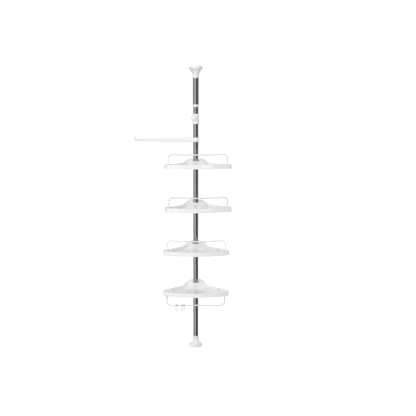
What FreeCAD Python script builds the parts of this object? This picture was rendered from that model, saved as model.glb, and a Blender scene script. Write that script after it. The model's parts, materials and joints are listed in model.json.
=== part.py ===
import FreeCAD, Part
import math
import os
from FreeCAD import Vector

# Corner shower shelf unit on a spring tension pole.  Millimetres, +Z up.
# The origin is on the pole's axis at the underside of the foot; the room is at -Y, the wall corner at +Y.

# --- fits and clearances --------------------------------------------------------------------------
RUNNING = 0.05                 # radial play of a part that slides or turns on another
BODY_GAP = 0.3                 # play between curved faces that pass each other without guiding
SPLIT_GAP = 0.6                # gap between the two halves of a clamp
OVERCUT = 1.0                  # how far a cutting shape reaches past what it cuts

# --- pole -----------------------------------------------------------------------------------------
POLE_R = 12.5                  # outside radius of the three lower tubes
POLE_WALL = 0.8
POLE_START = 10.0              # height at which the lowest tube sits in its foot cup
SECTION_LENGTH = 410.0         # each of the three equal tubes
SECTIONS = ("lower", "middle", "upper")
JOINER_LENGTH = 60.0
JOINER_WALL = 2.0
SEAM_FLANGE = 0.25             # height of the joiner's flange, seen as a fine line between two tubes
SEAM_DEPTH = 0.5               # how deep the flange stays behind the tubes' faces

# --- upper sleeve with the spring inside ----------------------------------------------------------
SLEEVE_PLAY = 0.7              # radial room between the pole and the wide upper tube, filled by a bushing
SLEEVE_WALL = 0.8
SLEEVE_OVERLAP = 28.0          # how far the sleeve reaches down over the pole
SLEEVE_LENGTH = 150.0
COLLAR_WALL = 0.8              # ring that closes the sleeve's lower end, measured over the sleeve
COLLAR_LENGTH = 12.0
COLLAR_SHOULDER = 7.0          # part of the ring that runs on the narrow pole
COLLAR_EDGE = 0.35
SPRING_WIRE_R = 1.0
SPRING_ROOM = 2.6              # between the coil and the sleeve's bore
SPRING_TURNS = 11
SEAT_HEAD = 3.0                # plate of the spring seat on top of the pole
SEAT_STEM = 14.0
BUSHING_PLAY = 0.3             # air between the bushing and the collar's shoulder at full height

# --- cups at the two ends -------------------------------------------------------------------------
FOOT_NECK_WALL = 2.5
FOOT_R = 33.0
FOOT_TOE = 2.0                 # how far the foot's lower edge is drawn in
FOOT_BAND = 6.0                # height of the foot's widest point
FOOT_FLARE = 31.0              # height at which the foot's flare becomes its neck
FOOT_HEIGHT = 53.5
FOOT_CURVE = ((0.18, 0.32), (0.43, 0.51), (0.74, 0.68), (0.92, 0.84))    # outward, downward shares
HEAD_NECK_WALL = 1.0
HEAD_R = 32.6
HEAD_HEIGHT = 56.0
HEAD_NECK = 13.0               # straight length of the head's neck
HEAD_BAND = 9.5                # depth of the head's widest point below its top
HEAD_BROW = 4.6                # how far the head's upper edge is drawn in
HEAD_CURVE = ((0.06, 0.19), (0.17, 0.36), (0.32, 0.49), (0.47, 0.63), (0.69, 0.77), (0.94, 0.9))
HEAD_SOCKET = 18.5             # how far the sleeve reaches into the head
PLUG_LENGTH = 27.0             # solid core of the head inside the sleeve
PAD_INSET = 5.5                # how far inside the cup's widest radius the rubber pad ends
PAD_THICK = 3.5
PAD_PROUD = 1.0                # how far the pad stands out of its cup

# --- swivelling hook ------------------------------------------------------------------------------
HOOK_DROP = 82.3               # from the sleeve's ring down to the underside of the hook's collar
HOOK_LENGTH = 48.6
HOOK_WALL = 2.3
HOOK_EDGE = 1.0
BEAD_PROUD = 1.2               # swelling round the collar's lower end
BEAD_LENGTH = 14.4
KNOB_R = 12.5
KNOB_THICK = 7.0
KNOB_STAND = 29.5              # from the pole's surface to the knob's outer face
KNOB_UP = 30.6                 # height of the knob above the collar's underside
KNOB_NECK_R = 5.0
KNOB_EDGE = 2.0                # rounding of the knob's rim
KNOB_CROWN = 1.8
KNOB_TURN = -17.0              # degrees by which the knob points left of straight ahead

# --- swivelling towel arm -------------------------------------------------------------------------
ARM_DROP = 158.5               # from the sleeve's ring down to the arm's mid height
ARM_HUB_WALL = 2.5             # hub and clamp together, measured over the pole
ARM_HUB_HEIGHT = 21.0
ARM_FLANGE = 1.6               # the clamp's flanges above and below the turning hub
ARM_FLANGE_EDGE = 0.6
ARM_SLEEVE = 1.0               # wall of the clamp between pole and hub
ARM_REACH = 298.0              # to the axis of the peg at the tip
ARM_TAPER = 54.0               # length of the last stretch, which narrows quickly
ARM_ROOT_HEIGHT = 22.0
ARM_WAIST_HEIGHT = 14.0
ARM_TIP_HEIGHT = 9.0
ARM_THICK = 11.0
ARM_EDGE = 4.0                 # rounding along the arm
PEG_R = 5.0
PEG_ROUND = 3.0
PEG_TOP = 13.5                 # height of the peg above the arm's mid height

# --- corner trays ---------------------------------------------------------------------------------
TRAY_DROP = (291.1, 496.3, 704.7, 903.3)   # from the sleeve's ring down to the undersides
TRAY_TURN = (4.2, 5.0, 1.0, 0.0)           # degrees about the pole, as last pushed round
TRAY_HALF = 158.0              # half the width across the tips
TRAY_CORNER = 46.0             # distance of the two back walls' meeting point behind the pole's axis
TRAY_END = 44.0                # length of the straight end faces
FRONT_SAG = 40.0               # how far the front rim bows out ahead of its ends
TRAY_RIM = 20.5
TRAY_WALL = 2.6
TRAY_FLOOR = 4.5               # height of the well's upper surface
TRAY_PLATE = 2.5               # thickness of floor, mound and platforms
CORNER_ROUND = 24.0
WING_ROUND = 20.0
TIP_ROUND = 14.0
PLATFORM_WIDTH = 40.0          # raised platforms at both ends of the tray
PLATFORM_DIP = 2.0             # how far the platforms and the low back wall lie below the rim
PEAK = 40.0                    # height of the mound and of the wall behind it
PEAK_HALF = 20.0
BACK_RUN = 65.0                # from the edge of the wall's peak to where its fall ends
BACK_CONVEX = 0.5              # share of the back wall's fall that is its upper, convex arc
MOUND_INSET = 4.0              # from the back walls' meeting point to the mound's axis of revolution
MOUND_TOP_R = 15.0
MOUND_FOOT_R = 82.0
MOUND_SLOPE = 38.0             # degrees of the mound's straight lower slope
BOSS_WALL = 2.6
BOSS_BELOW = 8.0               # how far the boss reaches below the tray
SLOT_WIDTH = 5.0
SLOT_LENGTH = 40.0
SLOT_BRIDGE = 9.0              # floor left between two slots of one row
SLOT_PITCH = 18.0              # from row to row
SLOT_ROWS = 6
SLOT_FRONT = 20.0              # from the front rim's outer face to the first row
SLOT_MARGIN = 12.0             # kept between a slot's middle line and a wall

# --- clamps that hold the trays -------------------------------------------------------------------
COLLET_BOTTOM = -10.0          # measured from the tray's underside
COLLET_TOP = 28.0
COLLET_TOP_WALL = 2.9
COLLET_BOTTOM_WALL = 5.9
COLLET_EDGE = 0.8

# --- wire rails -----------------------------------------------------------------------------------
ROD_R = 3.2
POST_INSET = 18.0              # from the tray's end face to the post's axis
POST_SETBACK = 22.0            # from the front rim's end to the post's axis
POST_FOOT = 1.5                # height of the posts' ends above the tray's underside
RAIL_TOP = 68.0                # height of the bar's ends
BAR_DIP = 6.6                  # fall and bulge of the lines that the bar's bow is tangent to
BAR_BULGE = 17.0
RAIL_CORNER = 20.0
BAR_STRAIGHT = 9.0             # straight wire between a corner and the bow
HANGING_FOOT = 12.2            # how far the bottom tray's rail is pushed up into its sockets
SOCKET_WALL = 2.0

# --- S hooks --------------------------------------------------------------------------------------
HOOK_WIRE_R = 1.3
LOOP_R = 6.6                   # inside radius of each loop
LOOP_SWEEP = 262.0             # degrees of each loop
S_HOOK_ALONG = (46.0, 72.5, 83.0)          # from the left post to each hook
S_HOOK_TWIST = (42.0, 0.0, 0.0)            # degrees by which each has turned about the vertical

# --- derived sizes --------------------------------------------------------------------------------
SLEEVE_R = POLE_R + SLEEVE_PLAY + SLEEVE_WALL
SLEEVE_BORE = POLE_R + SLEEVE_PLAY
COLLAR_R = SLEEVE_R + COLLAR_WALL
SPRING_R = SLEEVE_BORE - SPRING_ROOM - SPRING_WIRE_R
FOOT_NECK_R = POLE_R + FOOT_NECK_WALL
HEAD_NECK_R = SLEEVE_R + HEAD_NECK_WALL
HOOK_R = POLE_R + HOOK_WALL
HUB_R = POLE_R + ARM_HUB_WALL
HUB_BORE = POLE_R + RUNNING + ARM_SLEEVE + RUNNING

POLE_TOP = POLE_START + len(SECTIONS) * SECTION_LENGTH + (len(SECTIONS) - 1) * SEAM_FLANGE
SLEEVE_START = POLE_TOP - SLEEVE_OVERLAP
SLEEVE_END = SLEEVE_START + SLEEVE_LENGTH
COLLAR_START = SLEEVE_START - COLLAR_SHOULDER
SEAT_TOP = POLE_TOP + SEAT_HEAD
HEAD_START = SLEEVE_END - HEAD_SOCKET
HEAD_TOP = HEAD_START + HEAD_HEIGHT
PLUG_START = SLEEVE_END - PLUG_LENGTH
HOOK_Z = COLLAR_START - HOOK_DROP
ARM_Z = COLLAR_START - ARM_DROP
TRAY_Z = [COLLAR_START - drop for drop in TRAY_DROP]

WALL_END_Y = TRAY_CORNER - TRAY_HALF
TRAY_TIP_Y = WALL_END_Y - TRAY_END
TRAY_FRONT_Y = TRAY_TIP_Y - FRONT_SAG
FRONT_R = (TRAY_HALF ** 2 + FRONT_SAG ** 2) / (2 * FRONT_SAG)
FRONT_CENTRE = TRAY_FRONT_Y + FRONT_R
PLATFORM_X = TRAY_HALF - PLATFORM_WIDTH
UNDER_FLOOR = TRAY_FLOOR - TRAY_PLATE
PLATFORM_Z = TRAY_RIM - PLATFORM_DIP
MOUND_Y = TRAY_CORNER - MOUND_INSET
POST_X = TRAY_HALF - POST_INSET
POST_Y = TRAY_TIP_Y + POST_SETBACK

BAR_VERTEX = Vector(0, POST_Y - BAR_BULGE, RAIL_TOP - BAR_DIP)
BAR_CORNER = Vector(POST_X, POST_Y, RAIL_TOP)
BAR_SLOPE = (BAR_CORNER - BAR_VERTEX).getAngle(Vector(1, 0, 0))
BAR_TRIM = (BAR_CORNER - BAR_VERTEX).Length - RAIL_CORNER - BAR_STRAIGHT
BAR_BOW_R = BAR_TRIM / math.tan(BAR_SLOPE)

ORIGIN = Vector(0, 0, 0)
UP = Vector(0, 0, 1)


# --- helpers --------------------------------------------------------------------------------------
def rz(radius, z):
    return Vector(radius, 0, z)


def cylinder(radius, z0, z1, x=0.0, y=0.0):
    return Part.makeCylinder(radius, z1 - z0, Vector(x, y, z0))


def cone(r0, r1, z0, z1):
    return Part.makeCone(r0, r1, z1 - z0, Vector(0, 0, z0))


def block(x0, x1, y0, y1, z0, z1):
    return Part.makeBox(x1 - x0, y1 - y0, z1 - z0, Vector(x0, y0, z0))


def bored(shape, radius, z0, z1):
    return shape.cut(cylinder(radius, z0 - OVERCUT, z1 + OVERCUT))


def tube(outer, inner, z0, z1):
    return bored(cylinder(outer, z0, z1), inner, z0, z1)


def rounded(radius, z0, z1, edge, lower=True, upper=True):
    """Cylinder with rounded ends."""
    shape = cylinder(radius, z0, z1)
    bottom = [e for e in shape.Edges if e.BoundBox.ZMax < z0 + edge]
    top = [e for e in shape.Edges if e.BoundBox.ZMin > z1 - edge]
    return shape.makeFillet(edge, bottom * lower + top * upper)


def line(p, q):
    return Part.LineSegment(p, q).toShape()


def arc(p, q, r):
    return Part.Arc(p, q, r).toShape()


def chain(points):
    return [line(p, q) for p, q in zip(points, points[1:])]


def turned(edges):
    """Solid of revolution about Z from a closed outline in the XZ plane."""
    return Part.Face(Part.Wire(edges)).revolve(ORIGIN, UP, 360)


def smooth(points, start, end):
    """One curve through the points that leaves and arrives along the given directions."""
    curve = Part.BSplineCurve()
    curve.interpolate(Points=points, InitialTangent=start, FinalTangent=end)
    return curve.toShape()


def flared(shares, r0, z0, r1, z1):
    """Curve from (r0, z0) to (r1, z1), upright at both ends, through points given as shares of both steps."""
    inner = [rz(r0 + (r1 - r0) * across, z0 + (z1 - z0) * along) for across, along in shares]
    way = Vector(0, 0, math.copysign(1, z1 - z0))
    return smooth([rz(r0, z0)] + inner + [rz(r1, z1)], way, way)


def curled(r0, z0, r1, z1):
    """Arc that leaves (r0, z0) upright and curls in to (r1, z1)."""
    inset, rise = r0 - r1, z1 - z0
    radius = (inset * inset + rise * rise) / (2 * inset)
    half = math.asin(rise / radius) / 2
    return arc(rz(r0, z0), rz(r0 - radius * (1 - math.cos(half)), z0 + radius * math.sin(half)), rz(r1, z1))


def ogee(x0, z0, x1, z1, share):
    """Two tangent arcs from (x0, z0) to (x1, z1), level at both ends; share is the first arc's part."""
    run, drop = x1 - x0, z0 - z1
    total = (run * run + drop * drop) / (2 * abs(drop))
    r0, r1 = share * total, (1 - share) * total
    turn = math.asin(run / total)
    side = math.copysign(1, drop)

    def on_first(angle):
        return rz(x0 + r0 * math.sin(angle), z0 - side * r0 * (1 - math.cos(angle)))

    def on_second(angle):
        return rz(x1 - r1 * math.sin(angle), z1 + side * r1 * (1 - math.cos(angle)))

    return [arc(on_first(0), on_first(turn / 2), on_first(turn)),
            arc(on_first(turn), on_second(turn / 2), on_second(0))]


def halves(shape):
    """The front and the rear half of a clamp, a saw cut apart."""
    box = shape.BoundBox
    box.enlarge(OVERCUT)
    front = block(box.XMin, box.XMax, box.YMin, -SPLIT_GAP / 2, box.ZMin, box.ZMax)
    rear = block(box.XMin, box.XMax, SPLIT_GAP / 2, box.YMax, box.ZMin, box.ZMax)
    return shape.common(front), shape.common(rear)


def swept_rod(points, radii, rod_r):
    """Round wire along straight runs joined by tangent arcs; radii belong to the inner points."""
    edges, here = [], points[0]
    for i, radius in enumerate(radii, start=1):
        back = (points[i - 1] - points[i]).normalize()
        ahead = (points[i + 1] - points[i]).normalize()
        half = back.getAngle(ahead) / 2
        trim = radius / math.tan(half)
        start, end = points[i] + back * trim, points[i] + ahead * trim
        middle = points[i] + (back + ahead).normalize() * (radius / math.sin(half) - radius)
        edges += [line(here, start), arc(start, middle, end)]
        here = end
    edges.append(line(here, points[-1]))
    ring = Part.Wire(Part.Circle(points[0], points[1] - points[0], rod_r).toShape())
    return Part.Wire(edges).makePipeShell([ring], True, True)


def turn_about_z(shape, degrees):
    shape.rotate(ORIGIN, UP, degrees)
    return shape


def save(shape, node):
    if shape.ShapeType != "Solid" and len(shape.Solids) == 1:
        shape = shape.Solids[0]
    shape.exportStep("parts/" + node + ".step")
    print(node, "solids", len(shape.Solids), "valid", shape.isValid(), "volume", round(shape.Volume, 1))


# --- pole -----------------------------------------------------------------------------------------
def section_start(index):
    return POLE_START + index * (SECTION_LENGTH + SEAM_FLANGE)


def pole_section(index):
    z0 = section_start(index)
    return tube(POLE_R, POLE_R - POLE_WALL, z0, z0 + SECTION_LENGTH)


def pole_joiner(index):
    """Sleeve inside two tubes, with a thin flange that parts their ends."""
    seam = section_start(index) + SECTION_LENGTH
    z0, z1 = seam - JOINER_LENGTH / 2, seam + JOINER_LENGTH / 2
    outer = POLE_R - POLE_WALL - RUNNING
    flange = cylinder(POLE_R - SEAM_DEPTH, seam, seam + SEAM_FLANGE)
    return bored(cylinder(outer, z0, z1).fuse(flange), outer - JOINER_WALL, z0, z1).removeSplitter()


def slide_bushing():
    """Thin sleeve on the pole's upper end that guides the wide tube and stops on its collar."""
    return tube(SLEEVE_BORE - RUNNING, POLE_R, SLEEVE_START + BUSHING_PLAY, POLE_TOP)


def spring_seat():
    """Plug in the pole's upper end that carries the spring."""
    plate = cylinder(SLEEVE_BORE - BODY_GAP, POLE_TOP, SEAT_TOP)
    stem = cylinder(POLE_R - POLE_WALL - RUNNING, POLE_TOP - SEAT_STEM, POLE_TOP)
    return plate.fuse(stem).removeSplitter()


# --- foot -----------------------------------------------------------------------------------------
def foot_cup():
    """Bell-shaped cup with a socket for the pole above and a recess for its pad below."""
    toe_r = FOOT_R - FOOT_TOE
    flare = flared(FOOT_CURVE, FOOT_NECK_R, FOOT_FLARE, FOOT_R, FOOT_BAND)
    neck = chain([rz(toe_r, PAD_PROUD), rz(0, PAD_PROUD), rz(0, FOOT_HEIGHT), rz(FOOT_NECK_R, FOOT_HEIGHT),
                  rz(FOOT_NECK_R, FOOT_FLARE)])
    cup = turned([curled(FOOT_R, FOOT_BAND, toe_r, PAD_PROUD)] + neck + [flare])
    return cup.cut([cylinder(POLE_R, POLE_START, FOOT_HEIGHT + OVERCUT), foot_pad()])


def foot_pad():
    return cylinder(FOOT_R - PAD_INSET, 0, PAD_THICK)


# --- head -----------------------------------------------------------------------------------------
def outer_tube():
    return tube(SLEEVE_R, SLEEVE_BORE, SLEEVE_START, SLEEVE_END)


def tube_collar():
    """Ring over the sleeve's lower end, with a shoulder that runs on the pole."""
    end = COLLAR_START + COLLAR_LENGTH
    ring = rounded(COLLAR_R, COLLAR_START, end, COLLAR_EDGE)
    return ring.cut([cylinder(POLE_R + RUNNING, COLLAR_START - OVERCUT, SLEEVE_START + OVERCUT),
                     cylinder(SLEEVE_R, SLEEVE_START, end + OVERCUT)])


def ceiling_cup():
    """Trumpet-shaped cup: a neck round the sleeve, a core inside it and a wide flat top."""
    flare_start, widest, top = HEAD_START + HEAD_NECK, HEAD_TOP - HEAD_BAND, HEAD_TOP - PAD_PROUD
    core_r = SLEEVE_BORE - RUNNING
    flare = flared(HEAD_CURVE, HEAD_NECK_R, flare_start, HEAD_R, widest)
    brow = curled(HEAD_R, widest, HEAD_R - HEAD_BROW, top)
    rest = chain([rz(HEAD_R - HEAD_BROW, top), rz(0, top), rz(0, PLUG_START), rz(core_r, PLUG_START),
                  rz(core_r, SLEEVE_END), rz(SLEEVE_R, SLEEVE_END), rz(SLEEVE_R, HEAD_START),
                  rz(HEAD_NECK_R, HEAD_START), rz(HEAD_NECK_R, flare_start)])
    return turned([flare, brow] + rest).cut(ceiling_pad())


def ceiling_pad():
    return cylinder(HEAD_R - PAD_INSET, HEAD_TOP - PAD_THICK, HEAD_TOP)


def tension_spring():
    z0, z1 = SEAT_TOP + SPRING_WIRE_R, PLUG_START - SPRING_WIRE_R
    helix = Part.makeHelix((z1 - z0) / SPRING_TURNS, z1 - z0, SPRING_R)
    helix.translate(Vector(0, 0, z0))
    ring = Part.Wire(Part.Circle(rz(SPRING_R, z0), Vector(0, 1, 0), SPRING_WIRE_R).toShape())
    return Part.Wire(helix.Edges).makePipeShell([ring], True, True)


# --- hook -----------------------------------------------------------------------------------------
def hook_collar():
    """Two-part collar round the pole, with a bead round its lower end."""
    end = HOOK_Z + HOOK_LENGTH
    body = rounded(HOOK_R, HOOK_Z, end, HOOK_EDGE, lower=False)
    bead = rounded(HOOK_R + BEAD_PROUD, HOOK_Z, HOOK_Z + BEAD_LENGTH, BEAD_PROUD)
    return halves(bored(body.fuse(bead).removeSplitter(), POLE_R + RUNNING, HOOK_Z, end))


def hook_peg():
    """Round knob on a neck that widens towards it, standing off the collar."""
    face = POLE_R + KNOB_STAND
    inner = face - KNOB_THICK
    rim_r = KNOB_R - KNOB_EDGE
    throat_r = rim_r - KNOB_NECK_R
    diagonal = throat_r * math.sqrt(0.5)
    crown_top = rz(0, face + KNOB_CROWN)
    throat = arc(rz(KNOB_NECK_R, inner - throat_r), rz(rim_r - diagonal, inner - throat_r + diagonal),
                 rz(rim_r, inner))
    edge = arc(rz(rim_r, inner), rz(KNOB_R, inner + KNOB_THICK / 2), rz(rim_r, face))
    crown = smooth([rz(rim_r, face), crown_top], Vector(-3, 0, 1), Vector(-1, 0, 0))
    neck = chain([ORIGIN, rz(KNOB_NECK_R, 0), rz(KNOB_NECK_R, inner - throat_r)])
    peg = turned(neck + [throat, edge, crown, line(crown_top, ORIGIN)])
    peg.rotate(ORIGIN, Vector(1, 0, 0), 90)
    peg.translate(Vector(0, 0, HOOK_Z + KNOB_UP))
    return turn_about_z(peg.cut(cylinder(HOOK_R, HOOK_Z, HOOK_Z + HOOK_LENGTH)), KNOB_TURN)


# --- towel arm ------------------------------------------------------------------------------------
def arm_grip():
    """Two-part clamp on the pole: a sleeve with a flange above and below the turning hub."""
    z0, z1 = ARM_Z - ARM_HUB_HEIGHT / 2, ARM_Z + ARM_HUB_HEIGHT / 2
    flanges = [rounded(HUB_R, z, z + ARM_FLANGE, ARM_FLANGE_EDGE) for z in (z0, z1 - ARM_FLANGE)]
    grip = cylinder(HUB_BORE - RUNNING, z0, z1).fuse(flanges)
    return halves(bored(grip, POLE_R + RUNNING, z0, z1))


def towel_arm():
    """Hub, tapering blade and a peg at the tip that keeps a towel on."""
    half = ARM_HUB_HEIGHT / 2 - ARM_FLANGE - RUNNING
    low, high = ARM_Z - half, ARM_Z + half
    stations = [(0, ARM_ROOT_HEIGHT), (ARM_REACH - ARM_TAPER, ARM_WAIST_HEIGHT), (ARM_REACH, ARM_TIP_HEIGHT)]
    corners = [Vector(-x, -ARM_THICK / 2, ARM_Z + height / 2) for x, height in stations]
    corners += [Vector(-x, -ARM_THICK / 2, ARM_Z - height / 2) for x, height in reversed(stations)]
    blade = Part.Face(Part.makePolygon(corners + corners[:1])).extrude(Vector(0, ARM_THICK, 0))
    blade = blade.makeFillet(ARM_EDGE, [e for e in blade.Edges if e.BoundBox.XLength > ARM_EDGE])
    peg = rounded(PEG_R, ARM_Z - ARM_TIP_HEIGHT / 2, ARM_Z + PEG_TOP, PEG_ROUND, lower=False)
    peg.translate(Vector(-ARM_REACH, 0, 0))
    arm = bored(cylinder(HUB_R, low, high).fuse([blade, peg]), HUB_BORE, low, high)
    past_flanges = [cylinder(HUB_R + BODY_GAP, high, ARM_Z + ARM_ROOT_HEIGHT),
                    cylinder(HUB_R + BODY_GAP, ARM_Z - ARM_ROOT_HEIGHT, low)]
    return arm.cut(past_flanges).removeSplitter()


# --- trays, built about the pole's axis with their underside at z = 0 ---------------------------
def front_y(x, inset):
    return FRONT_CENTRE - math.sqrt((FRONT_R - inset) ** 2 - x * x)


def plan_prism(inset, z0, z1):
    """Upright prism with the tray's outline, moved in by inset, and rounded corners."""
    corner, side = TRAY_CORNER - inset * math.sqrt(2), TRAY_HALF - inset
    back = Vector(0, corner, z0)
    wing_r, tip_r = Vector(side, corner - side, z0), Vector(side, front_y(side, inset), z0)
    wing_l, tip_l = Vector(-side, corner - side, z0), Vector(-side, front_y(side, inset), z0)
    front = arc(tip_r, Vector(0, front_y(0, inset), z0), tip_l)
    outline = [line(back, wing_r), line(wing_r, tip_r), front, line(tip_l, wing_l), line(wing_l, back)]
    prism = Part.Face(Part.Wire(outline)).extrude(Vector(0, 0, z1 - z0))
    rounds = {CORNER_ROUND: [back], WING_ROUND: [wing_r, wing_l], TIP_ROUND: [tip_r, tip_l]}
    for radius, points in rounds.items():
        upright = [e for e in prism.Edges if e.BoundBox.ZLength > (z1 - z0) / 2]
        near = [e for e in upright if min(e.distToShape(Part.Vertex(p))[0] for p in points) < RUNNING]
        prism = prism.makeFillet(radius - inset, near)
    return prism


def above_back_wall():
    """Everything above the back wall's curved top edge, for the part of the tray behind its tips."""
    ceiling, side = PEAK + OVERCUT, TRAY_HALF + OVERCUT
    edge = ogee(PEAK_HALF, PEAK, PEAK_HALF + BACK_RUN, PLATFORM_Z, BACK_CONVEX)
    edge += chain([rz(PEAK_HALF + BACK_RUN, PLATFORM_Z), rz(side, PLATFORM_Z), rz(side, ceiling),
                   rz(0, ceiling), rz(0, PEAK), rz(PEAK_HALF, PEAK)])
    right = Part.Face(Part.Wire(edge)).extrude(Vector(0, TRAY_CORNER - WALL_END_Y, 0))
    right.translate(Vector(0, WALL_END_Y, 0))
    return right.fuse(right.mirror(ORIGIN, Vector(1, 0, 0))).removeSplitter()


def mound(lowered):
    """Solid under the mound's upper surface, lowered by the given amount."""
    top, foot, turn = PEAK - lowered, TRAY_FLOOR - lowered, math.radians(MOUND_SLOPE)
    spare = (MOUND_FOOT_R - MOUND_TOP_R) * math.tan(turn) - (top - foot)
    shoulder_r = spare / (math.sin(turn) * math.tan(turn) - 1 + math.cos(turn))

    def shoulder(angle):
        return rz(MOUND_TOP_R + shoulder_r * math.sin(angle), top - shoulder_r * (1 - math.cos(angle)))

    rest = chain([shoulder(turn), rz(MOUND_FOOT_R, foot), rz(MOUND_FOOT_R, -OVERCUT), rz(0, -OVERCUT),
                  rz(0, top), shoulder(0)])
    solid = turned([arc(shoulder(0), shoulder(turn / 2), shoulder(turn))] + rest)
    solid.translate(Vector(0, MOUND_Y, 0))
    return solid


def collet_cone(z0, z1, grown):
    """The clamp's taper between two heights, grown outwards."""
    slope = (COLLET_TOP_WALL - COLLET_BOTTOM_WALL) / (COLLET_TOP - COLLET_BOTTOM)
    base = POLE_R + COLLET_BOTTOM_WALL + grown
    return cone(base + slope * (z0 - COLLET_BOTTOM), base + slope * (z1 - COLLET_BOTTOM), z0, z1)


def arc_slot(radius, start, end):
    """Upright cutter: a slot along the front rim's curve, from one angle to another, with round ends."""
    r, middle = SLOT_WIDTH / 2, (start + end) / 2
    tip = r / radius

    def at(rad, angle):
        return Vector(rad * math.sin(angle), FRONT_CENTRE - rad * math.cos(angle), -OVERCUT)

    outline = [arc(at(radius + r, start), at(radius + r, middle), at(radius + r, end)),
               arc(at(radius + r, end), at(radius, end + tip), at(radius - r, end)),
               arc(at(radius - r, end), at(radius - r, middle), at(radius - r, start)),
               arc(at(radius - r, start), at(radius, start - tip), at(radius + r, start))]
    return Part.Face(Part.Wire(outline)).extrude(Vector(0, 0, PEAK))


def drain_slots():
    """Rows of slots that follow the front rim, each row as wide as the well leaves room for."""
    cutters = []
    for row in range(SLOT_ROWS):
        radius = FRONT_R - SLOT_FRONT - row * SLOT_PITCH
        wall_room = radius - FRONT_CENTRE + TRAY_CORNER - SLOT_MARGIN * math.sqrt(2)
        half = min(PLATFORM_X - SLOT_MARGIN, wall_room)
        count = int((2 * half + SLOT_BRIDGE) // (SLOT_LENGTH + SLOT_BRIDGE))
        step = (SLOT_LENGTH + SLOT_BRIDGE) / radius
        reach = (SLOT_LENGTH - SLOT_WIDTH) / 2 / radius
        for i in range(count):
            centre = (i - (count - 1) / 2) * step
            cutters.append(arc_slot(radius, centre - reach, centre + reach))
    return cutters


def tray_ends(merge):
    """On each side, the step up from the well, the raised platform and the socket for a post."""
    far_front, far_back, side = TRAY_FRONT_Y - OVERCUT, TRAY_CORNER + OVERCUT, TRAY_HALF + OVERCUT
    plate = plan_prism(merge, PLATFORM_Z - TRAY_PLATE, PLATFORM_Z)
    pieces = []
    for sign in (-1, 1):
        inner, outer = sorted((sign * PLATFORM_X, sign * side))
        pieces.append(plate.common(block(inner, outer, far_front, far_back, UNDER_FLOOR, PLATFORM_Z)))
        x = sign * PLATFORM_X
        step = block(x - TRAY_PLATE / 2, x + TRAY_PLATE / 2, far_front, far_back, UNDER_FLOOR, PLATFORM_Z)
        pieces.append(step.common(plan_prism(merge, 0, PEAK)))
        socket_r = ROD_R + RUNNING + SOCKET_WALL
        pieces.append(cylinder(socket_r, 0, PLATFORM_Z - TRAY_PLATE / 2, sign * POST_X, POST_Y))
    return pieces


def tray():
    """Corner tray: walls, drained floor, raised ends and a mound with a boss round the pole."""
    merge = TRAY_WALL / 2
    walls = plan_prism(0, 0, PEAK).cut(plan_prism(TRAY_WALL, -OVERCUT, PEAK + OVERCUT))
    well = block(-PLATFORM_X, PLATFORM_X, TRAY_FRONT_Y, TRAY_CORNER, UNDER_FLOOR, TRAY_FLOOR)
    floor = plan_prism(merge, UNDER_FLOOR, TRAY_FLOOR).common(well).cut(mound(TRAY_PLATE))
    hill = mound(0).cut(mound(TRAY_PLATE)).common(plan_prism(merge, UNDER_FLOOR, PEAK))
    boss = collet_cone(-BOSS_BELOW, PEAK, BODY_GAP + BOSS_WALL)
    boss_top = boss.common(mound(TRAY_PLATE / 2))
    boss_foot = boss.common(cylinder(MOUND_FOOT_R, -BOSS_BELOW, 0))
    body = walls.fuse([floor, hill, boss_top, boss_foot] + tray_ends(merge))
    side = TRAY_HALF + OVERCUT
    above_rim = block(-side, side, TRAY_FRONT_Y - OVERCUT, WALL_END_Y, TRAY_RIM, PEAK + OVERCUT)
    body = body.cut([above_back_wall().cut(mound(0)), above_rim.cut(mound(0))])
    bore = collet_cone(-BOSS_BELOW - OVERCUT, PEAK + OVERCUT, BODY_GAP)
    holes = [cylinder(ROD_R + RUNNING, -OVERCUT, PEAK, sign * POST_X, POST_Y) for sign in (-1, 1)]
    return body.cut([bore] + holes + drain_slots()).removeSplitter()


def collet():
    """Split taper that the tray's boss wedges on the pole."""
    taper = collet_cone(COLLET_BOTTOM, COLLET_TOP, 0)
    top = [e for e in taper.Edges if e.BoundBox.ZMin > COLLET_TOP - COLLET_EDGE]
    lipped = taper.makeFillet(COLLET_EDGE, top)
    return halves(bored(lipped, POLE_R + RUNNING, COLLET_BOTTOM, COLLET_TOP))


# --- rails: posts, corners and a bar that bows forward and dips in the middle -----------------------
def rail():
    left_corner = Vector(-BAR_CORNER.x, BAR_CORNER.y, BAR_CORNER.z)
    points = [Vector(-POST_X, POST_Y, POST_FOOT), left_corner, BAR_VERTEX, BAR_CORNER,
              Vector(POST_X, POST_Y, POST_FOOT)]
    return swept_rod(points, [RAIL_CORNER, BAR_BOW_R, RAIL_CORNER], ROD_R)


def hanging(shape):
    """The same rail turned upside down, with its posts pushed up to HANGING_FOOT."""
    shape = shape.copy()
    shape.rotate(ORIGIN, Vector(0, 1, 0), 180)
    shape.translate(Vector(0, 0, HANGING_FOOT + POST_FOOT))
    return shape


def bar_point(x):
    """Point on the bow of the hanging rail's bar, and the bar's direction there."""
    lift = BAR_CORNER - BAR_VERTEX
    lift.x = 0
    lift.normalize()
    turn = math.asin(x / BAR_BOW_R)
    rise = BAR_BOW_R / math.cos(BAR_SLOPE) - BAR_BOW_R * math.cos(turn)
    point = BAR_VERTEX + lift * rise + Vector(x, 0, 0)
    along = Vector(math.cos(turn), 0, 0) + lift * math.sin(turn)
    point.z = HANGING_FOOT + POST_FOOT - point.z
    along.z = -along.z
    return point, along


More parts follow.
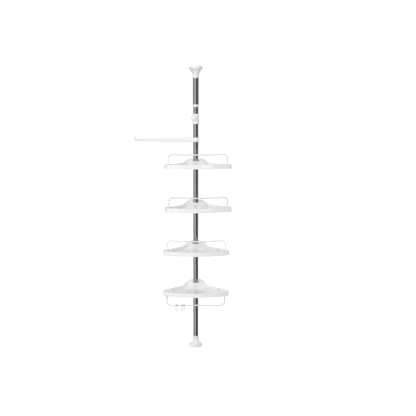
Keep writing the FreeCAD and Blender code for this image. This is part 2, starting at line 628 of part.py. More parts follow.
# --- S hooks ----------------------------------------------------------------------------------------
def s_hook(x, twist):
    """Two loops of wire in one plane, open on opposite sides, hung on the bar by the upper one."""
    mean = LOOP_R + HOOK_WIRE_R
    sweep = math.radians(LOOP_SWEEP)
    pieces = []
    for side in (1, -1):
        disc = Part.Face(Part.Wire(Part.Circle(ORIGIN, Vector(0, 1, 0), HOOK_WIRE_R).toShape()))
        centre = Vector(0, 0, side * mean)
        tip = centre + Vector(0, side * math.sin(sweep) * mean, -side * math.cos(sweep) * mean)
        pieces += [disc.revolve(centre, Vector(1, 0, 0), LOOP_SWEEP), Part.makeSphere(HOOK_WIRE_R, tip)]
    hook = pieces[0].fuse(pieces[1:])
    point, along = bar_point(x)
    turn_about_z(hook, twist + math.degrees(math.atan2(along.y, along.x)))
    hook.translate(point + Vector(0, 0, ROD_R + BODY_GAP - LOOP_R - mean))
    return hook


# --- write every node -------------------------------------------------------------------------------
os.makedirs("parts", exist_ok=True)

save(foot_pad(), "foot_pad")
save(foot_cup(), "foot_cup")
for number, label in enumerate(SECTIONS):
    save(pole_section(number), "pole_" + label)
for number, label in enumerate(("lower", "upper")):
    save(pole_joiner(number), "pole_joiner_" + label)
save(slide_bushing(), "slide_bushing")
save(spring_seat(), "spring_seat")

save(outer_tube(), "outer_tube")
save(tube_collar(), "tube_collar")
save(ceiling_cup(), "ceiling_cup")
save(ceiling_pad(), "ceiling_pad")
save(tension_spring(), "tension_spring")

for half, label in zip(hook_collar(), ("front", "rear")):
    save(half, "hook_collar_" + label)
save(hook_peg(), "hook_peg")
for half, label in zip(arm_grip(), ("front", "rear")):
    save(half, "arm_grip_" + label)
save(towel_arm(), "towel_arm")

BOTTOM = len(TRAY_Z) - 1
collet_front, collet_rear = collet()
tray_shape, upright = tray(), rail()
for number, (level, turn) in enumerate(zip(TRAY_Z, TRAY_TURN)):
    wire = hanging(upright) if number == BOTTOM else upright
    pieces = {"tray": tray_shape, "rail": wire, "collet_front": collet_front, "collet_rear": collet_rear}
    for label, shape in pieces.items():
        placed = turn_about_z(shape.copy(), turn)
        placed.translate(Vector(0, 0, level))
        save(placed, f"{label}_{number + 1}")

for number, (along_bar, twist) in enumerate(zip(S_HOOK_ALONG, S_HOOK_TWIST), start=1):
    hook = turn_about_z(s_hook(along_bar - POST_X, twist), TRAY_TURN[BOTTOM])
    hook.translate(Vector(0, 0, TRAY_Z[BOTTOM]))
    save(hook, f"s_hook_{number}")
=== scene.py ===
# %% [markdown]
# # Corner shelf unit on a tension pole
#
# The real object is a slim steel pole that a spring holds between floor and ceiling.  Four white corner
# trays with wire rails, a swing arm, a knob and three S hooks are clamped to it.  A construction model of
# every piece comes first, at true size.  This script gives each piece its finished surface in Blender,
# hangs it on the body it moves with, and sets up a plain studio.

# %% Load the construction model
import json
import math

import bmesh
import bpy
import numpy as np
from mathutils import Matrix, Vector


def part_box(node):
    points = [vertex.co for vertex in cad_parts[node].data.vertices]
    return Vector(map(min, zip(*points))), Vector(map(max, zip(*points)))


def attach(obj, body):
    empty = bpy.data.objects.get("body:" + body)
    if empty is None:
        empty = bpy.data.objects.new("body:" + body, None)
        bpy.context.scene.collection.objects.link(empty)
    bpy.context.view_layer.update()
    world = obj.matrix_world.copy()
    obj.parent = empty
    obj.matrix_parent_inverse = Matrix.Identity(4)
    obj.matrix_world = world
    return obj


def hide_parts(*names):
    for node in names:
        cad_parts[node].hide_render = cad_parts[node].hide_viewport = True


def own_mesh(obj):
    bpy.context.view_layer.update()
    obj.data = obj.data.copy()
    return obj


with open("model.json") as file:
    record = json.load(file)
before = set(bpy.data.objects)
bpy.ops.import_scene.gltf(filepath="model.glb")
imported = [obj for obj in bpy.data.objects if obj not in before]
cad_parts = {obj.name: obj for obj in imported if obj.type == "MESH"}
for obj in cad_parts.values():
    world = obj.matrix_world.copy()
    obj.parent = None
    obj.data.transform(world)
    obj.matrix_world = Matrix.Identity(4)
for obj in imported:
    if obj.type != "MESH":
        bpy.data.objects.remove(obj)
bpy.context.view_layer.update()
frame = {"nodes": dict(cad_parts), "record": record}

MM = 0.001


# %% [markdown]
# ## Small tools for materials
#
# A Blender material is a graph of nodes.  Paint charts and web colours are given as sRGB hex values, while
# the renderer works in linear light, so one function converts them.  A second function adds a node, sets
# it and links it in one go.  Patterns are laid out on Object coordinates, which are in metres, so a third
# turns the size of a pattern's cell in millimetres into the scale that a Mapping node wants.

# %% Colour and node helpers
def srgb(text):
    """Linear RGBA from an sRGB hex value such as "#E8E8E6"."""
    channels = [int(text[i:i + 2], 16) / 255 for i in (1, 3, 5)]
    return [c / 12.92 if c <= 0.04045 else ((c + 0.055) / 1.055) ** 2.4 for c in channels] + [1.0]


def add(tree, kind, inputs=None, **settings):
    """Adds a node; an input given as another node's output is linked, anything else is set."""
    node = tree.nodes.new(kind)
    for key, value in settings.items():
        setattr(node, key, value)
    for key, value in (inputs or {}).items():
        if isinstance(value, bpy.types.NodeSocket):
            tree.links.new(value, node.inputs[key])
        else:
            node.inputs[key].default_value = value
    return node


def blank_material(name):
    """Empty material; returns it with its tree and its surface shader."""
    material = bpy.data.materials.new(name)
    material.use_nodes = True
    return material, material.node_tree, material.node_tree.nodes["Principled BSDF"]


def new_material(name):
    """The same, with the Object coordinates that patterns are laid out on."""
    material, tree, shader = blank_material(name)
    return material, tree, shader, add(tree, "ShaderNodeTexCoord").outputs["Object"]


def cells(x, y, z):
    """Mapping scale for pattern cells of x, y and z millimetres."""
    return tuple(1 / (size * MM) for size in (x, y, z))


print("white #FFFFFF is", srgb("#FFFFFF")[0], "and middle grey #808080 is", round(srgb("#808080")[0], 3))


# %% [markdown]
# ## Finish: polished stainless tube
#
# The pole is thin stainless tube, drawn through a die and polished with a belt.  That gives a mirror that
# is a little soft along the tube, with fine lines that run lengthways, and faint handling marks.  The
# lines are a noise pattern stretched along Z.  Real ones are finer than a tenth of a millimetre, too fine
# to show, so they are drawn about half a millimetre apart.

# %% Stainless tube
LINE_CELL = (0.5, 0.5, 900)                # drawing lines: across, across and along, in millimetres
MARK_CELL = (60, 60, 200)                  # handling marks


def polished_stainless():
    material, tree, shader, coords = new_material("polished_stainless_tube")
    shader.inputs["Base Color"].default_value = srgb("#BFBFBE")
    shader.inputs["Metallic"].default_value = 1.0
    layers = []
    for cell in (LINE_CELL, MARK_CELL):
        layout = add(tree, "ShaderNodeMapping", {"Vector": coords, "Scale": cells(*cell)})
        layers.append(add(tree, "ShaderNodeTexNoise", {"Vector": layout.outputs["Vector"], "Detail": 1.0}))
    blend = add(tree, "ShaderNodeMath", {i: layer.outputs["Fac"] for i, layer in enumerate(layers)},
                operation="MULTIPLY")
    rough = add(tree, "ShaderNodeMapRange", {"Value": blend.outputs[0], "To Min": 0.09, "To Max": 0.13})
    tree.links.new(rough.outputs["Result"], shader.inputs["Roughness"])
    return material


STAINLESS = polished_stainless()
print(STAINLESS.name, "has", len(STAINLESS.node_tree.nodes), "nodes")


# %% [markdown]
# ## Finish: moulded white ABS
#
# Trays, cups, clamps, knob and arm are injection moulded ABS from a polished tool: an opaque, slightly
# warm white with a clear gloss.  Thick stretches cool unevenly, which leaves a shallow waviness of a few
# centimetres and a fine orange peel.  Use leaves the gloss slightly uneven.

# %% White ABS
WAVE_SIZE, HAZE_SIZE, PEEL_SIZE = 90, 14, 2.5          # how far apart waves, dull patches and peel are
WAVE_HEIGHT, PEEL_HEIGHT = 0.6, 0.03


def moulded_abs():
    material, tree, shader, coords = new_material("moulded_white_abs")
    noise = {}
    for size, detail in ((WAVE_SIZE, 2.0), (HAZE_SIZE, 4.0), (PEEL_SIZE, 1.0)):
        layout = add(tree, "ShaderNodeMapping", {"Vector": coords, "Scale": cells(size, size, size)})
        pattern = add(tree, "ShaderNodeTexNoise", {"Vector": layout.outputs["Vector"], "Detail": detail})
        noise[size] = pattern.outputs["Fac"]
    tint = add(tree, "ShaderNodeMix", {"Factor": noise[WAVE_SIZE], "A": srgb("#EFEFEE"),
                                       "B": srgb("#F4F4F3")}, data_type="RGBA")
    tree.links.new(tint.outputs["Result"], shader.inputs["Base Color"])
    rough = add(tree, "ShaderNodeMapRange", {"Value": noise[HAZE_SIZE], "To Min": 0.16, "To Max": 0.26})
    tree.links.new(rough.outputs["Result"], shader.inputs["Roughness"])
    shader.inputs["IOR"].default_value = 1.54
    fine = add(tree, "ShaderNodeBump", {"Height": noise[PEEL_SIZE], "Strength": 0.12,
                                        "Distance": PEEL_HEIGHT * MM})
    wave = add(tree, "ShaderNodeBump", {"Height": noise[WAVE_SIZE], "Strength": 0.3,
                                        "Distance": WAVE_HEIGHT * MM, "Normal": fine.outputs["Normal"]})
    tree.links.new(wave.outputs["Normal"], shader.inputs["Normal"])
    return material


ABS = moulded_abs()
print(ABS.name, "has", len(ABS.node_tree.nodes), "nodes")


# %% [markdown]
# ## Finish: dip-coated wire
#
# Rails are steel wire dipped in white plastic powder that melts to a soft skin.  The skin is duller than the
# mouldings and slightly uneven in thickness, so it has a broader sheen and a gentle bump.  The S hooks are
# thinner wire, and they get the same recipe in a middle grey, darker than the rails.

# %% Coated wire
RUN_SIZE, RUN_HEIGHT = 7, 0.2              # how far apart thick places in the skin are, and their height


def coated_wire(name, colour):
    material, tree, shader, coords = new_material(name)
    shader.inputs["Base Color"].default_value = srgb(colour)
    shader.inputs["IOR"].default_value = 1.5
    layout = add(tree, "ShaderNodeMapping", {"Vector": coords, "Scale": cells(RUN_SIZE, RUN_SIZE, RUN_SIZE)})
    skin = add(tree, "ShaderNodeTexNoise", {"Vector": layout.outputs["Vector"], "Detail": 2.0}).outputs["Fac"]
    rough = add(tree, "ShaderNodeMapRange", {"Value": skin, "To Min": 0.28, "To Max": 0.42})
    tree.links.new(rough.outputs["Result"], shader.inputs["Roughness"])
    bump = add(tree, "ShaderNodeBump", {"Height": skin, "Strength": 0.25, "Distance": RUN_HEIGHT * MM})
    tree.links.new(bump.outputs["Normal"], shader.inputs["Normal"])
    return material


WIRE = coated_wire("dip_coated_wire", "#EAEAE8")
# the S hooks' wire: the rails' recipe in a middle grey
HOOK_WIRE = coated_wire("grey_hook_wire", "#9C9C9A")
print(WIRE.name, "and", HOOK_WIRE.name, "have", len(WIRE.node_tree.nodes), "nodes each")


# %% [markdown]
# ## Finishes that hardly show
#
# Rubber pads grip floor and ceiling, nylon sleeves join and guide the tubes, and a plated spring sits inside
# the upper tube.  They get plain, honest recipes: a matt grained rubber, a dull waxy nylon and a wire with
# drawing lines.

# %% Rubber, nylon and spring wire
ROUGH_SPREAD = 0.06                        # how far the grain moves the roughness either way


def grained(name, dark, light, grain, rough, height, metallic=0.0):
    """Dull material between two colours, with a fine grain; its size and height are in millimetres."""
    material, tree, shader, coords = new_material(name)
    shader.inputs["Metallic"].default_value = metallic
    layout = add(tree, "ShaderNodeMapping", {"Vector": coords, "Scale": cells(grain, grain, grain)})
    grains = add(tree, "ShaderNodeTexNoise", {"Vector": layout.outputs["Vector"], "Detail": 6.0})
    noise = grains.outputs["Fac"]
    shade = add(tree, "ShaderNodeMix", {"Factor": noise, "A": srgb(dark), "B": srgb(light)}, data_type="RGBA")
    tree.links.new(shade.outputs["Result"], shader.inputs["Base Color"])
    spread = add(tree, "ShaderNodeMapRange", {"Value": noise, "To Min": rough - ROUGH_SPREAD,
                                              "To Max": rough + ROUGH_SPREAD})
    tree.links.new(spread.outputs["Result"], shader.inputs["Roughness"])
    bump = add(tree, "ShaderNodeBump", {"Height": noise, "Strength": 0.5, "Distance": height * MM})
    tree.links.new(bump.outputs["Normal"], shader.inputs["Normal"])
    return material


RUBBER = grained("matt_grip_rubber", "#C9C9C6", "#D6D6D3", grain=1.2, rough=0.75, height=0.08)
NYLON = grained("natural_nylon", "#BFBFBA", "#CBCBC6", grain=2.0, rough=0.5, height=0.03)
SPRING = grained("plated_spring_wire", "#8A8A88", "#9C9C9A", grain=1.0, rough=0.3, height=0.02, metallic=1.0)
print("hidden finishes", [material.name for material in (RUBBER, NYLON, SPRING)])

# %% Dress the construction nodes
FINISH = {"polished_stainless": STAINLESS, "white_abs": ABS, "white_coated_wire": WIRE, "grip_rubber": RUBBER,
          "nylon": NYLON, "spring_steel": SPRING}
for row in frame["record"]["subparts"]:
    node = frame["nodes"][row["node"]]
    node.data.materials.clear()
    node.data.materials.append(FINISH[row["material_slot"]])


# %% [markdown]
# ## From outlines to solids
#
# Almost every moulding here is either turned about the pole or drawn in plan and built up in rings.  Both
# are lists of points joined by four-sided faces.  One helper makes a clean closed mesh of them: it merges
# points that fall together, turns all faces outwards, and shades smooth except across real edges.

# %% Solid from points and faces
EDGE_ANGLE = math.radians(32)
DOUBLES, FINE_DOUBLES = 0.002, 0.001       # millimetres within which points count as one


def finished(mesh, merge=DOUBLES):
    """Merges doubled points, turns the faces outwards and keeps edges sharper than EDGE_ANGLE."""
    shape = bmesh.new()
    shape.from_mesh(mesh)
    bmesh.ops.remove_doubles(shape, verts=shape.verts, dist=merge * MM)
    bmesh.ops.dissolve_degenerate(shape, edges=shape.edges, dist=merge * MM)
    bmesh.ops.recalc_face_normals(shape, faces=shape.faces)
    shape.to_mesh(mesh)
    shape.free()
    mesh.shade_smooth()
    mesh.set_sharp_from_angle(angle=EDGE_ANGLE)
    return mesh


def place(name, mesh):
    """Piece at the origin, unturned, made of a mesh."""
    piece = bpy.data.objects.new(name, mesh)
    bpy.context.scene.collection.objects.link(piece)
    return piece


def solid(name, points, faces):
    """Closed piece from points in millimetres."""
    mesh = bpy.data.meshes.new(name)
    mesh.from_pydata([Vector(p) * MM for p in points], [], faces)
    return place(name, finished(mesh))


print("edges over", round(math.degrees(EDGE_ANGLE)), "degrees stay crisp")

# %% Finish, body and sizes of a piece
def fit(piece, slot, *nodes):
    """Gives a piece its finish and lets it stand for construction nodes, on the body that they belong to."""
    body = next(body for body, own in frame["record"]["behaviour"]["bodies"].items() if nodes[0] in own)
    piece.data.materials.clear()
    piece.data.materials.append(FINISH[slot])
    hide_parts(*nodes)
    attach(piece, body)


def low(node):
    """Height of a node's underside in millimetres."""
    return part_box(node)[0][2] / MM


def high(node):
    """Height of a node's top in millimetres."""
    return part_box(node)[1][2] / MM


def half_width(node):
    """Outside radius in millimetres of a node that is round the pole."""
    return (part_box(node)[1][0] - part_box(node)[0][0]) / 2 / MM


POLE_R, SLEEVE_R = half_width("pole_lower"), half_width("outer_tube")
print("pole radius", round(POLE_R, 2), "mm, sleeve radius", round(SLEEVE_R, 2), "mm")


# %% [markdown]
# ## Turned pieces
#
# Tubes, cups, rings, clamps and the knob are round.  An outline of corners, each with its own rounding, is
# turned about the axis.  This gives true small radii at every lip and rim, which catch the thin highlights
# that make a moulding or a rolled tube look real, and it needs far fewer faces than a bevelled cylinder.

# %% Outline with rounded corners
ROUNDING_STEPS = 5


def softened(corners):
    """Closed outline through corners (radius, height, rounding), with an arc at each rounded corner."""
    points = []
    for i, (x, z, rounding) in enumerate(corners):
        here = Vector((x, z))
        if not rounding:
            points.append(here)
            continue
        back = (Vector(corners[i - 1][:2]) - here).normalized()
        ahead = (Vector(corners[(i + 1) % len(corners)][:2]) - here).normalized()
        half = back.angle(ahead) / 2
        centre = here + (back + ahead).normalized() * rounding / math.sin(half)
        first = here + back * rounding / math.tan(half) - centre
        last = here + ahead * rounding / math.tan(half) - centre
        sweep = math.remainder(math.atan2(last.y, last.x) - math.atan2(first.y, first.x), math.tau)
        for k in range(ROUNDING_STEPS + 1):
            points.append(centre + Matrix.Rotation(sweep * k / ROUNDING_STEPS, 2) @ first)
    return points


print("a corner with rounding becomes", len(softened([(0, 0, 0), (4, 0, 0), (4, 4, 1)])) - 2, "points")

# %% Lathe
LATHE_SIDES, CUP_SIDES = 96, 128


def lathe(name, outline, sweep=(0, 360), sides=LATHE_SIDES):
    """Outline of (radius, height) points turned about the pole's axis, whole or between two angles."""
    whole = sweep[1] - sweep[0] == 360
    count = sides if whole else sides // 2
    step = (sweep[1] - sweep[0]) / count
    turns = [math.radians(sweep[0] + step * i) for i in range(count if whole else count + 1)]
    points = [(p[0] * math.cos(a), p[0] * math.sin(a), p[1]) for a in turns for p in outline]
    n = len(outline)
    faces = []
    for i in range(count):
        j = (i + 1) % len(turns)
        faces += [(i * n + k, j * n + k, j * n + (k + 1) % n, i * n + (k + 1) % n) for k in range(n)]
    if not whole:
        faces += [list(range(n)), list(range(count * n, count * n + n))[::-1]]
    return solid(name, points, faces)


print("a full turn has", LATHE_SIDES, "sides, and", CUP_SIDES, "on the wide cups")


# %% [markdown]
# ## Tubes
#
# The pole is three stainless tubes on hidden joiners.  A wider tube slides over the top one.  Tube ends are
# rolled a little round when they are deburred, so a fine line stays at each joint.

# %% Pole tubes and upper sleeve
TUBE_WALL, END_ROLL = 0.8, 0.3

for node in ("pole_lower", "pole_middle", "pole_upper", "outer_tube"):
    outer, bottom, top = half_width(node), low(node), high(node)
    inner = outer - TUBE_WALL
    outline = softened([(inner, bottom, 0), (outer, bottom, END_ROLL),
                        (outer, top, END_ROLL), (inner, top, 0)])
    fit(lathe(node + "_drawn", outline), "polished_stainless", node)
print("tubes", round(high("pole_upper") - low("pole_lower")), "mm from foot to slide")


# %% [markdown]
# ## Cups and collar ring
#
# The foot is a bell and the head a trumpet, both with a long neck round the tube.  Their flare is a free
# curve, so it is drawn through a few points that are shares of the way out and down.  The ring that closes
# the sleeve is a short turned collar.

# %% Free curves
CURVE_STEPS = 8                            # points on each stretch of a curve


def through(points):
    """Smooth curve through points, upright at both ends (Catmull-Rom)."""
    points = [Vector(p) for p in points]
    first = points[0] + Vector((0, points[0].y - points[1].y))
    last = points[-1] + Vector((0, points[-1].y - points[-2].y))
    padded = [first] + points + [last]
    curve = []
    for a, b, c, d in zip(padded, padded[1:], padded[2:], padded[3:]):
        for k in range(CURVE_STEPS):
            t = k / CURVE_STEPS
            curve.append(0.5 * (2 * b + (c - a) * t + (2 * a - 5 * b + 4 * c - d) * t ** 2
                                + (3 * b - a - 3 * c + d) * t ** 3))
    return curve + [points[-1]]


def flared(shares, r0, z0, r1, z1):
    """Free curve from (r0, z0) to (r1, z1) through points given as shares of the way."""
    return through([(r0, z0)] + [(r0 + (r1 - r0) * a, z0 + (z1 - z0) * b) for a, b in shares] + [(r1, z1)])


def curled(r0, z0, r1, z1):
    """Quarter of an ellipse that leaves (r0, z0) upright and curls in to (r1, z1)."""
    turns = [math.pi / 2 * k / CURVE_STEPS for k in range(CURVE_STEPS + 1)]
    return [Vector((r1 + (r0 - r1) * math.cos(a), z0 + (z1 - z0) * math.sin(a))) for a in turns]


print("a quarter curl has", len(curled(1, 0, 0, 1)), "points")

# %% Foot
RUNNING = 0.05                 # air between pieces that slide or turn on each other
PAD_INSET, PAD_PROUD, PAD_THICK = 5.5, 1.0, 3.5
FOOT_CURVE = ((0.18, 0.32), (0.43, 0.51), (0.74, 0.68), (0.92, 0.84))
FOOT_BAND, FOOT_FLARE, FOOT_TOE, FOOT_NECK_R = 6.0, 31.0, 2.0, 15.0
FOOT_STRAIGHT, FOOT_LIP, FOOT_MOUTH = 4.0, 0.9, 0.5

BORE_R = POLE_R + RUNNING
foot_r, foot_top = half_width("foot_cup"), high("foot_cup")
toe = curled(foot_r, FOOT_BAND, foot_r - FOOT_TOE, PAD_PROUD)
bell = flared(FOOT_CURVE, FOOT_NECK_R, FOOT_FLARE, foot_r, FOOT_BAND)
neck = softened([(FOOT_NECK_R, FOOT_FLARE + FOOT_STRAIGHT, 0), (FOOT_NECK_R, foot_top, FOOT_LIP),
                 (BORE_R, foot_top, FOOT_MOUTH), (BORE_R, low("pole_lower"), 0), (0, low("pole_lower"), 0),
                 (0, PAD_THICK, 0), (foot_r - PAD_INSET, PAD_THICK, 0), (foot_r - PAD_INSET, PAD_PROUD, 0)])
outline = toe[::-1] + bell[:-1][::-1] + neck
fit(lathe("foot_bell", outline, sides=CUP_SIDES), "white_abs", "foot_cup")
print("foot", round(2 * foot_r, 1), "mm wide")

# %% Head
BORE_EDGE = 0.3                # rounding at the mouth of a bore
HEAD_CURVE = ((0.06, 0.19), (0.17, 0.36), (0.32, 0.49), (0.47, 0.63), (0.69, 0.77), (0.94, 0.9))
HEAD_BAND, HEAD_NECK, HEAD_BROW, HEAD_NECK_R, HEAD_HEIGHT = 9.5, 13.0, 4.6, 15.0, 56.0
HEAD_PLUG_EDGE, HEAD_LIP = 1.0, 0.5

head_r, head_top, plug_low = half_width("ceiling_cup"), high("ceiling_cup"), low("ceiling_cup")
neck_low, widest = head_top + PAD_PROUD - HEAD_HEIGHT, head_top + PAD_PROUD - HEAD_BAND
pad_r, pad_low = head_r - PAD_INSET, head_top + PAD_PROUD - PAD_THICK
plug_r, tube_end = SLEEVE_R - TUBE_WALL - RUNNING, high("outer_tube") + RUNNING
flare = flared(HEAD_CURVE, HEAD_NECK_R, neck_low + HEAD_NECK, head_r, widest)
brow = curled(head_r, widest, head_r - HEAD_BROW, head_top)
inside = softened([(pad_r, head_top, BORE_EDGE), (pad_r, pad_low, 0), (0, pad_low, 0), (0, plug_low, 0),
                   (plug_r, plug_low, HEAD_PLUG_EDGE), (plug_r, tube_end, 0),
                   (SLEEVE_R + RUNNING, tube_end, 0), (SLEEVE_R + RUNNING, neck_low, 0),
                   (HEAD_NECK_R, neck_low, HEAD_LIP)])
fit(lathe("head_trumpet", flare[:-1] + brow + inside, sides=CUP_SIDES), "white_abs", "ceiling_cup")
print("head", round(2 * head_r, 1), "mm wide")

# %% Collar ring
COLLAR_SHOULDER, COLLAR_FOOT_EDGE, COLLAR_HEAD_EDGE = 7.0, 0.8, 0.5
collar_r, collar_low, collar_top = half_width("tube_collar"), low("tube_collar"), high("tube_collar")
band = softened([(BORE_R, collar_low, BORE_EDGE), (collar_r, collar_low, COLLAR_FOOT_EDGE),
                 (collar_r, collar_top, COLLAR_HEAD_EDGE), (SLEEVE_R, collar_top, 0),
                 (SLEEVE_R, collar_low + COLLAR_SHOULDER, 0), (BORE_R, collar_low + COLLAR_SHOULDER, 0)])
fit(lathe("sleeve_ring", band), "white_abs", "tube_collar")
print("collar ring", round(collar_top - collar_low, 1), "mm high")


# %% [markdown]
# ## Split clamps
#
# The hook's collar, the arm's clamp and the four tapers under the trays are each two half shells that close
# on the pole.  Half of the outline's full turn is made for each, a saw cut short at both ends, and the
# faces at the cut are closed.

# %% Half shells
SPLIT = 1.4                    # degrees left open at each end of a half


def half_shells(name, outline, front, rear):
    """Two halves of a turned clamp, for the room's side and the wall's side of the pole."""
    for node, side, start in ((front, "front", 180), (rear, "rear", 0)):
        half = lathe(f"{name}_{side}", outline, (start + SPLIT, start + 180 - SPLIT))
        fit(half, "white_abs", node)


print("each half turns through", 180 - 2 * SPLIT, "degrees")

# %% Hook's collar
BEAD_LENGTH, BEAD_PROUD, BEAD_FOOT_EDGE, BEAD_TOP_EDGE = 14.4, 1.2, 1.2, 1.15
COLLAR_ROOT, COLLAR_LIP = 0.04, 1.0        # roundings where the collar leaves its bead and at its top
hook_low, hook_top = low("hook_collar_front"), high("hook_collar_front")
bead_r, bead_top = half_width("hook_collar_front"), hook_low + BEAD_LENGTH
wall_r = bead_r - BEAD_PROUD
collar = softened([(BORE_R, hook_low, BORE_EDGE), (bead_r, hook_low, BEAD_FOOT_EDGE),
                   (bead_r, bead_top, BEAD_TOP_EDGE), (wall_r, bead_top, COLLAR_ROOT),
                   (wall_r, hook_top, COLLAR_LIP), (BORE_R, hook_top, BORE_EDGE)])
half_shells("hook_shell", collar, "hook_collar_front", "hook_collar_rear")
print("hook's collar", round(hook_top - hook_low, 1), "mm high")

# %% Arm's clamp
GRIP_SLEEVE_R, FLANGE, FLANGE_EDGE, FLANGE_BACK = 13.55, 1.6, 0.6, 0.4
GRIP_R, grip_low, grip_top = half_width("arm_grip_front"), low("arm_grip_front"), high("arm_grip_front")
waist_low, waist_top = grip_low + FLANGE, grip_top - FLANGE
spool = softened([(BORE_R, grip_low, 0), (GRIP_R, grip_low, FLANGE_EDGE), (GRIP_R, waist_low, FLANGE_BACK),
                  (GRIP_SLEEVE_R, waist_low, 0), (GRIP_SLEEVE_R, waist_top, 0),
                  (GRIP_R, waist_top, FLANGE_BACK), (GRIP_R, grip_top, FLANGE_EDGE), (BORE_R, grip_top, 0)])
half_shells("grip_shell", spool, "arm_grip_front", "arm_grip_rear")
print("arm's clamp", round(grip_top - grip_low, 1), "mm high,", round(2 * GRIP_R, 1), "mm wide")

# %% Tapers under the trays
TAPER_WALL = 2.9                           # at the top, its thin end
TAPER_MOUTH, TAPER_FOOT_EDGE, TAPER_TOP_EDGE = 0.2, 0.5, 0.8
for number in (1, 2, 3, 4):
    front = f"collet_front_{number}"
    bottom, top = low(front), high(front)
    taper = softened([(BORE_R, bottom, TAPER_MOUTH), (half_width(front), bottom, TAPER_FOOT_EDGE),
                      (POLE_R + TAPER_WALL, top, TAPER_TOP_EDGE), (BORE_R, top, BORE_EDGE)])
    half_shells(f"taper_{number}", taper, front, f"collet_rear_{number}")
print("tapers", round(top - bottom, 1), "mm high")


# %% [markdown]
# ## Knob
#
# The knob is a mushroom moulded in one with its collar: a neck that widens in a throat, a rounded rim and a
# slightly domed face.  It is turned like the rest and then swung from upright to pointing at the room, a
# little to the left.

# %% Turned knob
KNOB_R, KNOB_THICK, KNOB_EDGE, KNOB_CROWN, KNOB_NECK_R = 12.5, 7.0, 2.0, 1.8, 5.0
KNOB_STAND, KNOB_UP, KNOB_TURN = 29.5, 30.6, -17.0
KNOB_ROOT = 1.2                # from the pole's surface to where the neck starts, inside the collar's wall
THROAT_STEPS, RIM_STEPS, CROWN_STEPS = 12, 16, 10

face, rim_r = POLE_R + KNOB_STAND, KNOB_R - KNOB_EDGE
inner, throat_r = face - KNOB_THICK, rim_r - KNOB_NECK_R
throat = [(rim_r - throat_r * math.cos(a), inner - throat_r + throat_r * math.sin(a))
          for a in (math.pi / 2 * k / THROAT_STEPS for k in range(THROAT_STEPS))]
rim = [(rim_r + KNOB_EDGE * math.sin(a), face - KNOB_THICK / 2 - KNOB_THICK / 2 * math.cos(a))
       for a in (math.pi * k / RIM_STEPS for k in range(RIM_STEPS))]
crown = [(rim_r * math.cos(a), face + KNOB_CROWN * math.sin(a))
         for a in (math.pi / 2 * k / CROWN_STEPS for k in range(CROWN_STEPS + 1))]
root = POLE_R + KNOB_ROOT
knob = lathe("knob", [(0, root), (KNOB_NECK_R, root)] + throat + rim + crown)
turn = Matrix.Rotation(math.radians(KNOB_TURN), 4, "Z") @ Matrix.Rotation(math.radians(90), 4, "X")
knob.data.transform(Matrix.Translation((0, 0, (hook_low + KNOB_UP) * MM)) @ turn)
fit(knob, "white_abs", "hook_peg")
reach = -min(vertex.co.y for vertex in knob.data.vertices) / MM
print("knob stands", round(reach, 1), "mm in front of the pole's axis")


# %% [markdown]
# ## Coated wire
#
# Each rail is one steel wire bent on a former: two posts, two tight bends and a bar that bows towards the
# room and sags a little.  The S hooks are bent from thinner wire, and the spring is wound from it.  All
# follow a path, so one Geometry Nodes tree makes them.  The path is a chain of corners that carry their own
# bend radius.  The tree rounds the corners and runs a circle along the result.  A second value thins the
# wire to a round tip.

# %% Geometry Nodes: start, end and use of a tree
def new_tree(name, inputs):
    """Empty geometry tree with named inputs (name: socket type); returns the tree and its input node."""
    tree = bpy.data.node_groups.new(name, "GeometryNodeTree")
    for label, kind in inputs.items():
        tree.interface.new_socket(label, in_out="INPUT", socket_type=kind)
    tree.interface.new_socket("Geometry", in_out="OUTPUT", socket_type="NodeSocketGeometry")
    return tree, add(tree, "NodeGroupInput").outputs


def close_tree(tree, geometry, material):
    """Ends a tree: copies made real, finish set, geometry handed out."""
    whole = add(tree, "GeometryNodeRealizeInstances", {"Geometry": geometry})
    painted = add(tree, "GeometryNodeSetMaterial", {"Geometry": whole.outputs[0], "Material": material})
    add(tree, "NodeGroupOutput", {"Geometry": painted.outputs[0]})
    return tree


def baked(piece):
    """The mesh of a piece with all its modifiers worked in."""
    return bpy.data.meshes.new_from_object(piece.evaluated_get(bpy.context.evaluated_depsgraph_get()))


def grown(name, mesh, tree, values):
    """Runs a geometry tree on a mesh and returns the result as a plain piece."""
    seed = place(name + "_path", mesh)
    modifier = seed.modifiers.new("grow", "NODES")
    modifier.node_group = tree
    for item in tree.interface.items_tree:
        if item.in_out == "INPUT" and item.name in values:
            modifier[item.identifier] = values[item.name]
    result = baked(seed)
    bpy.data.objects.remove(seed)
    result.name = name
    return place(name, finished(result))


print("tools for trees:", [tool.__name__ for tool in (new_tree, close_tree, baked, grown)])

# %% Geometry Nodes: wire along a path
STATION_VALUES = {"bend": "FLOAT", "steps": "INT", "thick": "FLOAT"}       # what a corner of the path carries


def wire_tree():
    tree, given = new_tree("bent_wire", {"Geometry": "NodeSocketGeometry", "Wire Radius": "NodeSocketFloat",
                                         "Sides": "NodeSocketInt", "Material": "NodeSocketMaterial"})
    read = {}
    for key, kind in STATION_VALUES.items():
        value = add(tree, "GeometryNodeInputNamedAttribute", {"Name": key}, data_type=kind)
        read[key] = value.outputs["Attribute"]
    line = add(tree, "GeometryNodeMeshToCurve", {"Mesh": given["Geometry"]})
    bent = add(tree, "GeometryNodeFilletCurve", {"Curve": line.outputs["Curve"], "Count": read["steps"],
                                                 "Radius": read["bend"]}, mode="POLY")
    sized = add(tree, "GeometryNodeSetCurveRadius", {"Curve": bent.outputs["Curve"], "Radius": read["thick"]})
    ring = add(tree, "GeometryNodeCurvePrimitiveCircle", {"Resolution": given["Sides"],
                                                          "Radius": given["Wire Radius"]})
    skin = add(tree, "GeometryNodeCurveToMesh", {"Curve": sized.outputs["Curve"],
                                                 "Profile Curve": ring.outputs["Curve"], "Fill Caps": True})
    return close_tree(tree, skin.outputs["Mesh"], given["Material"])


